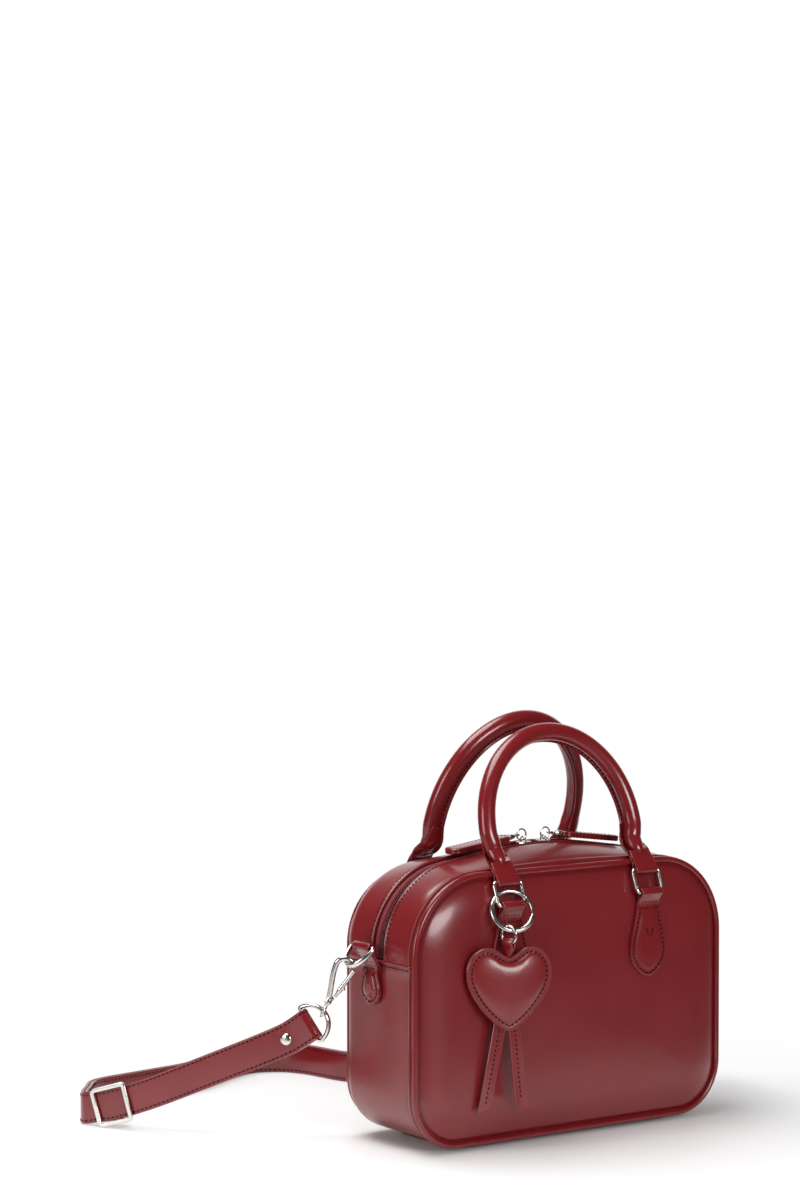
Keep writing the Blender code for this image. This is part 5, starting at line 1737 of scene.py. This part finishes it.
    def swivel(self, side: Side) -> None:
        """A hook's swivel eye and its post."""
        along, across, normal = self.hook_axes(side)
        bm = bmesh.new()
        hoop(bm, self.origin(side), along, normal, self.swivel_radius, self.swivel_wire, 10, 32)
        post = axes(self.point(side, self.swivel_radius, 0), across, normal)
        long, size = self.collar_start - self.gap - self.swivel_radius, self.swivel_post
        turned(bm, [(0.0, 0.0), (size, 0.0), (size, long * 0.5), (size * 1.3, long), (0.0, long)], post)
        make_piece("swivel_eye_" + side.word, bm, self.finishes.metal)

    def build(self) -> None:
        """Make both sides."""
        for side in Side:
            self.side_tab(side)
            self.hook(side)
            self.trigger(side)
            self.swivel(side)


# Shoulder strap


@dataclass
class ShoulderStrap:
    """The flat strap with its rings, rivet and slider."""

    finishes: Finishes
    bag: BagBody
    clips: SideClips
    width: float = 0.02
    thickness: float = 0.0022
    layer_line: float = 0.00015
    split: float = 0.0013
    blend: float = 0.015
    tail: float = 0.03
    steps: int = 8
    wrap_steps: int = 12
    gap: float = 0.0003
    ring_wire: float = 0.0014
    ring_half: float = 0.0121
    ring_depth: float = 0.0137
    ring_grip: float = radians(11)
    run_length: float = 0.15
    run_height: float = 0.063
    run_shares: tuple = (
        (0.0, 0.0), (0.05, 0.082), (0.108, 0.163), (0.234, 0.30), (0.51, 0.581), (0.728, 0.798),
        (0.907, 0.946), (1.0, 0.99),
    )
    rise_shares: tuple = ((0.108, 0.163), (0.05, 0.082), (0.0, 0.0))
    lay_shares: tuple = (
        (-0.0069, 1.059, 0), (0.0213, 1.1547, 0), (0.0665, 1.2696, 0), (0.1713, 1.3206, 0),
        (0.2836, 1.3748, 0), (0.3828, 1.5056, 0), (0.4531, 1.5758, 0), (0.5051, 1.5311, 0),
        (0.534, 1.4163, 0), (0.5522, 1.1994, 0), (0.5886, 1.059, 0), (0.6419, 0.9984, 0),
        (0.7216, 0.9665, 0), (0.8258, 0.8932, 0.04), (0.9174, 0.7783, 0.22), (0.9958, 0.5869, 0.5),
        (1.0335, 0.37, 0.76),
    )
    rivet_place: float = 0.0165
    rivet_head: float = 0.0037
    rivet_thickness: float = 0.001
    rivet_post: float = 0.001
    slider_point: int = 6
    slider_length: float = 0.023
    slider_half: float = 0.0114
    slider_wire: float = 0.001
    slider_tail: float = 0.01
    slider_gap: float = 0.0008
    seam: Stitch = Stitch(pitch=0.0032, length=0.0023, width=0.0011)
    seam_inset: float = 0.0019

    def ring_axes(self, side: Side) -> tuple[Vector, Vector]:
        """A strap ring's bar direction and the direction of the strap that leaves it."""
        run, drop = self.run_shares[1]
        start = self.clips.level(side) * (self.run_length * run) - UP * (self.run_height * drop)
        start.normalize()
        return (UP - start * UP.dot(start)).normalized(), start

    def ring_centre(self, side: Side) -> Vector:
        """The middle of a strap ring's straight bar."""
        bar, start = self.ring_axes(side)
        across = self.ring_half * sin(self.ring_grip)
        depth = self.ring_depth * cos(self.ring_grip)
        return self.clips.origin(side) - bar * across + start * depth

    def run_point(self, side: Side, shares: Pair) -> Vector:
        """A point of the strap's slope beside one ring."""
        run, drop = shares
        level = self.clips.level(side)
        return self.ring_centre(side) + level * (self.run_length * run) - UP * (self.run_height * drop)

    def frames(self) -> list[Spot]:
        """Each station of the middle line: its place, direction, inward side and width direction."""
        route = [self.run_point(Side.LEFT, shares) for shares in self.run_shares]
        floor = self.width / 2 + self.gap
        far, ring = route[-1], self.ring_centre(Side.RIGHT)
        for across, back, lift in self.lay_shares:
            x = far.x + (ring.x - far.x) * across
            route.append(Vector((x, far.y * back, floor + lift * self.run_height)))
        route += [self.run_point(Side.RIGHT, shares) for shares in self.rise_shares]
        line = smooth_line(route, self.steps)
        result = []
        for place, ahead in zip(line, directions(line)):
            inward = Vector((ahead.y, -ahead.x, 0)).normalized()
            result.append((place, ahead, inward, inward.cross(ahead)))
        return result

    def spread_at(self, distance: float) -> float:
        """Half the distance between the strap's two layers, wider round a ring's bar."""
        wide = self.ring_wire + self.gap + self.thickness / 2
        return self.split + (wide - self.split) * max(0.0, 1 - distance / self.blend) ** 2

    def wrap(
        self, station: Spot, first: float, last: float, radius: float
    ) -> list[tuple[Vector, Vector]]:
        """Stations of a fold round a bar, from one angle to the other about the width direction."""
        place, ahead, inward, width_axis = station
        result = []
        for step in range(1, self.wrap_steps):
            angle = first + (last - first) * step / self.wrap_steps
            point = place + (inward * cos(angle) - ahead * sin(angle)) * radius
            result.append((point, width_axis))
        return result

    @property
    def bar_shift(self) -> float:
        """From the strap's middle line to the slider's centre bar."""
        return self.split + self.thickness / 2 + self.slider_gap + self.slider_wire

    def stations(self) -> list[tuple[Vector, Vector]]:
        """The whole leather, from its riveted end round the left ring, through the slider, round the right
        ring and back to the slider's centre bar."""
        frames = self.frames()
        gone = distances([place for place, *_ in frames])
        total = gone[-1]
        result = []
        for (place, _, inward, width_axis), distance in reversed(list(zip(frames, gone))):
            if distance <= self.tail:
                result.append((place + inward * self.spread_at(distance), width_axis))
        result += self.wrap(frames[0], 0, pi, self.spread_at(0))
        for (place, _, inward, width_axis), distance in zip(frames, gone):
            shift = self.spread_at(min(distance, total - distance))
            result.append((place - inward * shift, width_axis))
        place, ahead, inward, width_axis = frames[-1]
        result += self.wrap((place, -ahead, inward, width_axis), pi, 0, self.spread_at(0))
        slider = self.slider_point * self.steps
        for index in range(len(frames) - 1, slider - 1, -1):
            place, _, inward, width_axis = frames[index]
            result.append((place + inward * self.spread_at(total - gone[index]), width_axis))
        place, ahead, inward, width_axis = frames[slider]
        radius = self.bar_shift - self.split
        centre = (place + inward * self.bar_shift, ahead, inward, width_axis)
        result += self.wrap(centre, pi, 0, radius)
        for reach in (0.0, self.slider_tail / 2, self.slider_tail):
            result.append((place + inward * (self.bar_shift + radius) + ahead * reach, width_axis))
        return result

    def section(self) -> list[Pair]:
        """The strap's section: two layers with a fine line between them at each edge."""
        half, thick = self.width / 2, self.thickness / 2
        edge = [(0.0030, 0.0), (0.0022, 0.00012), (0.0016, 0.00012), (0.0009, 0.0)]
        edge += [(0.0003, 0.0001), (0.0, 0.0004)]
        lower = [(half - x, y - thick) for x, y in edge] + [(half, -self.layer_line)]
        right = lower + [(half - self.layer_line, 0.0)] + [(x, -y) for x, y in reversed(lower)]
        right.append((0.0, thick))
        return right + [(-x, -y) for x, y in right]

    def leather(self) -> None:
        """The strap itself with its four rows of stitches."""
        stations = self.stations()
        aheads = directions([place for place, _ in stations])
        matrices = [
            axes(place, width_axis, ahead.cross(width_axis))
            for (place, width_axis), ahead in zip(stations, aheads)
        ]
        bm = bmesh.new()
        sweep(bm, self.section(), matrices)
        make_piece("shoulder_strap", bm, self.finishes.soft_leather, name="strap_leather")
        bm = bmesh.new()
        shift = self.width / 2 - self.seam_inset
        for edge in (-shift, shift):
            for face in (-1, 1):
                height = face * self.thickness / 2
                line = [matrix @ Vector((edge, height, 0)) for matrix in matrices]
                normals = [matrix.to_3x3().col[1] * face for matrix in matrices]
                stitches(bm, line, normals, self.seam, 0.001)
        make_piece("shoulder_strap", bm, self.finishes.thread, name="strap_stitches")

    def rings(self) -> None:
        """The D-ring in each end of the strap."""
        for side in Side:
            bar, start = self.ring_axes(side)
            bm = bmesh.new()
            self.clips.d_ring(
                bm, self.ring_centre(side), bar, -start, self.ring_half, self.ring_depth, self.ring_wire
            )
            make_piece("strap_ring_" + side.word, bm, self.finishes.metal)

    def rivet(self) -> None:
        """The domed rivet through the strap's riveted end."""
        frames = self.frames()
        gone = distances([place for place, *_ in frames])
        index = next(index for index, distance in enumerate(gone) if distance >= self.rivet_place)
        place, ahead, inward, _ = frames[index]
        head = self.spread_at(gone[index]) + self.thickness / 2 + self.gap
        top, edge = head + self.rivet_thickness, self.rivet_head
        profile = [(0.0, top + 0.0003), (edge * 0.45, top + 0.0002), (edge * 0.8, top - 0.0001)]
        profile += [(edge * 0.95, top - 0.0004), (edge, head + 0.0003), (edge * 0.97, head - 0.0003)]
        profile += [(self.rivet_post, head - 0.0003)]
        profile += [(radius, -height) for radius, height in reversed(profile)]
        bm = bmesh.new()
        turned(bm, profile, axes(place, ahead, inward.cross(ahead)), 32)
        make_piece("strap_rivet", bm, self.finishes.metal, name="rivet_metal")

    def slider(self) -> None:
        """The square slider frame with its centre bar."""
        place, ahead, inward, width_axis = self.frames()[self.slider_point * self.steps]
        long, half, wire = self.slider_length, self.slider_half, self.slider_wire
        corners = rounded(long, 2 * half, wire * 1.8, 4)
        bm = bmesh.new()
        middle = place - inward * self.bar_shift
        points = laid(middle, ahead, width_axis, corners)
        section = rounded(2.9 * wire, 1.9 * wire, wire * 0.5, 3)
        sweep(bm, section, frames_along(points, ahead.cross(width_axis), True), cyclic=True)
        lift, bend = self.bar_shift, self.bar_shift - wire
        bar = [(-lift, -half), (bend, -half), (lift, wire - half)]
        bar += [(a, -b) for a, b in reversed(bar)]
        rod(bm, wire, 12, laid(place, inward, width_axis, bar), ahead)
        make_piece("strap_slider", bm, self.finishes.metal, name="slider_metal")

    def build(self) -> None:
        """Make the strap and what is on it."""
        self.leather()
        self.rings()
        self.rivet()
        self.slider()


# Charm


@dataclass
class Charm:
    """The gate ring, the jump ring, and the leather heart with its hanger and tails."""

    finishes: Finishes
    bag: BagBody
    turn: float = radians(-18)
    lean: float = radians(28)
    radius: float = 0.0133
    wire: float = 0.0012
    full: float = 1.3
    drawn: float = 0.00035
    ring_side: float = 0.002
    ring_out: float = 0.0023
    ring_drop: float = 0.0031
    gate_start: float = radians(-21)
    gate_end: float = radians(44)
    split: float = radians(1.6)
    free_split: float = radians(4)
    hang: float = radians(18)
    jump_play: float = 0.0009
    jump_turn: float = radians(-55)
    jump_radius: float = 0.0054
    jump_wire: float = 0.00065
    hanger_width: float = 0.0078
    hanger_layer: float = 0.0011
    hanger_length: float = 0.0088
    hanger_fold: float = 0.0042
    hanger_tip: float = 0.0016
    hanger_seat: float = 0.001
    hanger_play: float = 0.0005
    heart_width: float = 0.055
    heart_height: float = 0.052
    heart_rim: float = 0.0015
    heart_crown: float = 0.0057
    heart_sizes: tuple = (0.985, 0.955, 0.905, 0.835, 0.745, 0.63, 0.49, 0.33, 0.16)
    notch_share: float = 0.135
    middle_share: float = 0.44
    heart_shares: tuple = (
        (0.0, -0.135), (0.06, -0.098), (0.13, -0.05), (0.19, -0.014), (0.256, 0.0), (0.33, -0.015),
        (0.405, -0.066), (0.46, -0.14), (0.493, -0.22), (0.5, -0.31), (0.487, -0.42), (0.437, -0.55),
        (0.366, -0.67), (0.274, -0.79), (0.155, -0.91), (0.06, -0.975), (0.0, -1.0),
    )
    tail_width: float = 0.0078
    tail_thickness: float = 0.0014
    tail_slant: float = 0.0019
    tail_rise: float = 0.004
    tail_seat: float = 0.0009
    tail_seam: Stitch = Stitch(pitch=0.003, length=0.0019, width=0.0011)
    seam: Stitch = TRIM_SEAM

    def tail_sizes(self, side: Side) -> tuple[float, float, float]:
        """A tail's length, its spread from upright in radians and its offset from the heart's tip."""
        return {
            Side.LEFT: (0.054, radians(11), -0.0047), Side.RIGHT: (0.0505, radians(-5.5), 0.0044),
        }[side]

    def ring_axes(self) -> tuple[Vector, Vector]:
        """The gate ring's plane: sideways, and up along the ring."""
        side = Vector((cos(self.turn), sin(self.turn), 0))
        back = Vector((-sin(self.turn), cos(self.turn), 0))
        return side, UP * cos(self.lean) + back * sin(self.lean)

    def ring_centre(self) -> Vector:
        """The middle of the gate ring."""
        carrying = Carrying(self.finishes, self.bag)
        bar, _ = carrying.bars(Face.FRONT)
        return Vector((-carrying.spread - self.ring_side, -(bar[0] + self.ring_out), bar[1] - self.ring_drop))

    def gate_ring(self) -> None:
        """The round ring and its spring gate."""
        side, up = self.ring_axes()
        centre, normal = self.ring_centre(), side.cross(up)
        start, end = self.gate_end + self.free_split, tau + self.gate_start - self.split
        wire = self.wire * self.full
        points = round_points(centre, side, up, self.radius - self.drawn, start, end, 64)
        bm = bmesh.new()
        rod(bm, wire, 14, points, normal)
        make_piece("gate_ring", bm, self.finishes.metal, "gate_ring")
        reach = self.radius - self.drawn / 2
        points = round_points(centre, side, up, reach, self.gate_start, self.gate_end, 18)
        scales = [*[(0.76, 0.76)] * 2, *[(0.66, 0.66)] * 15, *[(0.76, 0.76)] * 2]
        bm = bmesh.new()
        rod(bm, wire, 14, points, normal, scales=scales)
        make_piece("ring_gate", bm, self.finishes.metal, "ring_gate", "gate_metal")

    def jump(self) -> tuple[Vector, Vector]:
        """The middle of the jump ring and its level direction."""
        side, up = self.ring_axes()
        pivot = self.ring_centre() - (up * cos(self.hang) + side * sin(self.hang)) * self.radius
        centre = pivot - UP * (self.jump_radius - self.wire - self.jump_wire - self.jump_play)
        turn = self.turn + self.jump_turn
        return centre, Vector((cos(turn), sin(turn), 0))

    def hanger(self) -> Vector:
        """The jump ring and the leather hanger. Gives the place of the heart's notch."""
        centre, level = self.jump()
        bm = bmesh.new()
        hoop(bm, centre, level, UP, self.jump_radius, self.jump_wire * self.full, 12, 40)
        make_piece("jump_ring", bm, self.finishes.metal, "charm")
        half = self.hanger_width / 2
        sag = self.jump_radius - sqrt(self.jump_radius**2 - half**2)
        bar = centre - UP * (self.jump_radius - sag / 2)
        out = level.cross(UP)
        layer = self.hanger_layer
        reach = self.jump_wire + self.hanger_play + layer / 2
        flat = [(layer / 2, -self.hanger_length), (layer / 2, -self.hanger_fold)]
        flat += arc((0, 0), reach, radians(-35), radians(215), 10, reach + sag / 2)
        flat += [(-layer / 2, -self.hanger_fold), (-layer / 2, -self.hanger_length)]
        line = smooth_line(laid(bar, out, UP, flat), 4)
        rows = []
        for matrix in frames_along(line, level):
            drop = (bar - matrix.translation).z
            share = max(0.0, (drop - self.hanger_fold) / (self.hanger_length - self.hanger_fold))
            width = self.hanger_width * (1 - share) + self.hanger_tip * share
            rows.append([matrix @ Vector((y, x, 0)) for x, y in flat_band(width, layer * 0.96)])
        bm = bmesh.new()
        loft(bm, rows)
        make_piece("charm_hanger", bm, self.finishes.soft_leather, "charm", "hanger_leather")
        return bar - UP * (self.hanger_length + self.hanger_seat)

    def heart_outline(self) -> list[Pair]:
        """The heart's smooth outline from its notch, counter-clockwise."""
        right = smooth_pairs(list(self.heart_shares), 5)
        right = [(x * self.heart_width, (z + self.notch_share) * self.heart_height) for x, z in right]
        return [(-x, z) for x, z in right] + right[-2:0:-1]

    def heart(self, notch: Vector) -> None:
        """The padded heart: two padded faces with a flat stitched rim."""
        side = self.ring_axes()[0]
        outward = side.cross(UP)
        place = axes(notch, side, UP)
        outline = self.heart_outline()
        middle = (self.notch_share - self.middle_share) * self.heart_height
        rim, crown = self.heart_rim, self.heart_crown

        def ring(size: float, inset: float, height: float) -> list[Vector]:
            """One ring of the heart, rounder the smaller it is."""
            points = []
            for x, z in inset_ring(outline, inset):
                turn = atan2(z - middle, x)
                oval = Vector((cos(turn) * self.heart_width, sin(turn) * self.heart_height)) * 0.42
                x, z = Vector((x, z - middle)).lerp(oval, (1 - size) ** 0.6) * size
                points.append(place @ Vector((x, middle + z, height)))
            return points

        half = [ring(1.0, 0.0, 0.00012), ring(1.0, 0.0, rim - 0.0004), ring(1.0, 0.0003, rim - 0.00005)]
        half += [ring(1.0, 0.0009, rim), ring(1.0, 0.0024, rim), ring(1.0, 0.0031, rim - 0.0003)]
        half += [ring(1.0, 0.0038, rim - 0.0002)]
        for size in self.heart_sizes:
            half.append(ring(size, 0.0038, rim + (crown - rim) * (1 - size**2.2) ** 0.7))
        flip = place @ Matrix.Diagonal((1, 1, -1, 1)) @ place.inverted()
        back = [[flip @ point for point in row] for row in half]
        seam_row = ring(1.0, 0.00018, 0.0)
        bm = bmesh.new()
        loft(bm, [*reversed(back), seam_row, *half])
        piece = make_piece("charm_heart", bm, self.finishes.leather, "charm", "heart_leather")
        threads = bmesh.new()
        for matrix, normal in ((Matrix.Identity(4), outward), (flip, -outward)):
            line = [matrix @ point for point in ring(1.0, 0.0032, rim - 0.0002)]
            stitches(threads, [*line, line[0]], normal, self.seam)
        make_piece("charm_heart", threads, self.finishes.thread, "charm", "heart_stitches")

    def tails(self, notch: Vector) -> None:
        """The two leather tails behind the heart's tip, each with one row of stitches."""
        side = self.ring_axes()[0]
        back = UP.cross(side)
        tip = notch - UP * (self.heart_height * (1 - self.notch_share))
        for end in Side:
            length, spread, offset = self.tail_sizes(end)
            down = -UP * cos(spread) - side * sin(spread)
            across = side * cos(spread) - UP * sin(spread)
            layer = back * (self.heart_rim + self.tail_seat + self.tail_thickness)
            start = tip + UP * self.tail_rise + side * offset + layer
            slant = -end.value * self.tail_slant
            half, thick = self.tail_width / 2, self.tail_thickness
            place = axes(start, down, across)
            rows = []
            for step in range(41):
                share = step / 40
                wave = self.tail_wave(end, share)
                row = []
                for x, y in self.tail_section(half, thick):
                    along = (length - slant * x / half) * share
                    row.append(place @ Vector((along, x, y + wave)))
                rows.append(row)
            leather, threads = bmesh.new(), bmesh.new()
            loft(leather, rows)
            name = "charm_tail_" + end.word
            make_piece(name, leather, self.finishes.soft_leather, "charm")
            line = []
            for step in range(31):
                share = step / 30 * (1 - 0.004 / length)
                wave = self.tail_wave(end, share)
                line.append(place @ Vector((length * share, 0.0, thick - 0.00012 + wave)))
            stitches(threads, line, place.to_3x3().col[2], self.tail_seam)
            make_piece(name, threads, self.finishes.thread, "charm")

    def tail_wave(self, side: Side, share: float) -> float:
        """How far a tail lies off its plane at a share of its length."""
        return 0.0003 * sin(share * 5.2 + side.value)

    def tail_section(self, half: float, thick: float) -> list[Pair]:
        """A tail's section from the back at 0 to the front, its edges a little raised."""
        right = [(half - 0.0004, 0.0), (half, 0.0003), (half, thick - 0.0003), (half - 0.0003, thick)]
        right += [(half - 0.0009, thick), (half - 0.0016, thick - 0.00018), (0.0006, thick - 0.0002)]
        right += [(0.0, thick - 0.00026)]
        return right + mirrored(right[:-1])

    def build(self) -> None:
        """Make the charm."""
        self.gate_ring()
        notch = self.hanger()
        self.heart(notch)
        self.tails(notch)


# The studio


@dataclass
class Studio:
    """The camera, the lamps, the pale floor and the white surroundings."""

    camera_place: Triple = (-1.1841, -1.5387, 0.4057)
    yaw: float = 0.6121
    pitch: float = 0.0361
    lens: float = 91.49
    floor_radius: float = 0.8
    ambient: float = 0.32
    shine: float = 0.045
    backdrop: Pair = (0.62, 0.86)

    def stand(self, name: str, data: bpy.types.ID, place: Triple, ahead: Vector) -> bpy.types.Object:
        """A camera or lamp, put up at a place and turned to look ahead."""
        thing = bpy.data.objects.new(name, data)
        thing.location = place
        thing.rotation_euler = ahead.to_track_quat("-Z", "Y").to_euler()
        bpy.context.scene.collection.objects.link(thing)
        return thing

    def camera(self) -> None:
        """The camera at the photograph's place."""
        level = cos(self.pitch)
        ahead = Vector((sin(self.yaw) * level, cos(self.yaw) * level, -sin(self.pitch)))
        data = bpy.data.cameras.new("camera")
        data.lens = self.lens
        data.sensor_width = data.sensor_height = 36.0
        data.sensor_fit = "AUTO"
        data.clip_start, data.clip_end = 0.05, 50.0
        bpy.context.scene.camera = self.stand("camera", data, self.camera_place, ahead)

    def lamp(self, name: str, place: Triple, size: Pair, power: float) -> None:
        """One soft box, turned to the bag.

        Args:
            name: The lamp's name.
            place: Where it stands.
            size: Its width and height.
            power: Its power in watts.
        """
        data = bpy.data.lights.new(name, "AREA")
        data.shape = "RECTANGLE"
        data.size, data.size_y = size
        data.energy = power
        self.stand(name, data, place, Vector((0, 0, 0.1)) - Vector(place))

    def floor(self) -> None:
        """The pale floor, lit near the bag and plain white further off."""
        recipe = MaterialRecipe("pale_floor")
        place = recipe.place["Object"]
        recipe.finished(Roughness=0.6, Specular_IOR_Level=0.2, Base_Color=self.floor_shade(recipe, place))
        far = recipe.fade(recipe.add("VectorMath", {0: place}, operation="LENGTH")["Value"], 0.16, 0.4)
        seen = recipe.calc("MULTIPLY", far, self.white_share(recipe, place))
        recipe.surface(seen, recipe.shader.outputs[0], recipe.add("Emission")[0], "Material Output")
        bm = bmesh.new()
        bmesh.ops.create_circle(bm, cap_ends=True, segments=96, radius=self.floor_radius)
        mesh = bpy.data.meshes.new("floor")
        bm.to_mesh(mesh)
        bm.free()
        mesh.materials.append(recipe.material)
        floor = bpy.data.objects.new("floor", mesh)
        bpy.context.scene.collection.objects.link(floor)

    def floor_shade(self, recipe: Recipe, place: Socket) -> Socket:
        """How pale the floor is. Reflections see it darker away from the bag, most of all in front.

        Args:
            recipe: The nodes that grow.
            place: The place on the floor.

        Returns:
            A socket with the floor's grey.
        """
        away = recipe.add("VectorMath", {0: place, 1: (0, 0.1, 0)}, operation="DISTANCE")["Value"]
        far = recipe.fade(away, 0.26, 0.44)
        loss = recipe.fade(recipe.add("SeparateXYZ", {0: place})["Y"], 0.05, -0.1)
        glossy = recipe.add("LightPath")["Is Glossy Ray"]
        for factor, offset in ((0.52, 0.34), (far, 0.0), (glossy, 0.0), (-0.9, 0.9)):
            loss = recipe.calc("MULTIPLY_ADD", loss, factor, offset)
        return loss

    def white_share(self, recipe: Recipe, towards: Socket) -> Socket:
        """How much of the white backdrop a ray sees.

        A camera or transmission ray sees it all round, and a glossy ray only where it stands, behind the bag.

        Args:
            recipe: The nodes that grow.
            towards: The place or direction that the ray meets.

        Returns:
            A socket from 0 to 1.
        """
        path = recipe.add("LightPath")
        straight = recipe.add("VectorMath", {0: towards}, operation="NORMALIZE")[0]
        ahead = (sin(self.yaw), cos(self.yaw), 0)
        behind = recipe.add("VectorMath", {0: straight, 1: ahead}, operation="DOT_PRODUCT")["Value"]
        share = recipe.calc("MULTIPLY", path["Is Glossy Ray"], recipe.fade(behind, *self.backdrop))
        for ray in ("Is Camera Ray", "Is Transmission Ray"):
            share = recipe.calc("MAXIMUM", share, path[ray])
        return share

    def surroundings(self) -> None:
        """The white backdrop, and a softer light all round for everything else."""
        world = bpy.data.worlds.new("studio")
        bpy.context.scene.world = world
        world.use_nodes = True
        recipe = Recipe(world.node_tree)
        soft = recipe.nodes["Background"]
        glossy = recipe.add("LightPath")["Is Glossy Ray"]
        strength = recipe.calc("MULTIPLY_ADD", glossy, self.shine - self.ambient, self.ambient)
        recipe.fill(soft, {"Color": WHITE, "Strength": strength})
        white = recipe.add("Background", {"Color": WHITE})[0]
        share = self.white_share(recipe, recipe.add("TexCoord")["Generated"])
        recipe.surface(share, soft.outputs[0], white, "World Output")

    def build(self) -> None:
        """Set up the whole studio."""
        bpy.context.scene.view_settings.view_transform = "Standard"
        self.camera()
        self.surroundings()
        self.floor()
        self.lamp("top_box", (-0.35, 0.25, 1.3), (1.1, 0.8), 17)
        self.lamp("left_box", (-1.6, 0.05, 0.5), (0.5, 0.8), 7)
        self.lamp("front_box", (-0.08, -1.88, 0.66), (0.85, 0.5), 16)


def main() -> None:
    """Build the studio and the bag."""
    logging.basicConfig(level=logging.INFO, format="%(name)s %(message)s")
    Studio().build()
    finishes = Finishes()
    bag = BagBody(finishes)
    bag.build()
    Carrying(finishes, bag).build()
    Inside(finishes, bag).build()
    ZipFastening(finishes, bag).build()
    clips = SideClips(finishes, bag)
    clips.build()
    ShoulderStrap(finishes, bag, clips).build()
    Charm(finishes, bag).build()


if __name__ == "__main__":
    main()
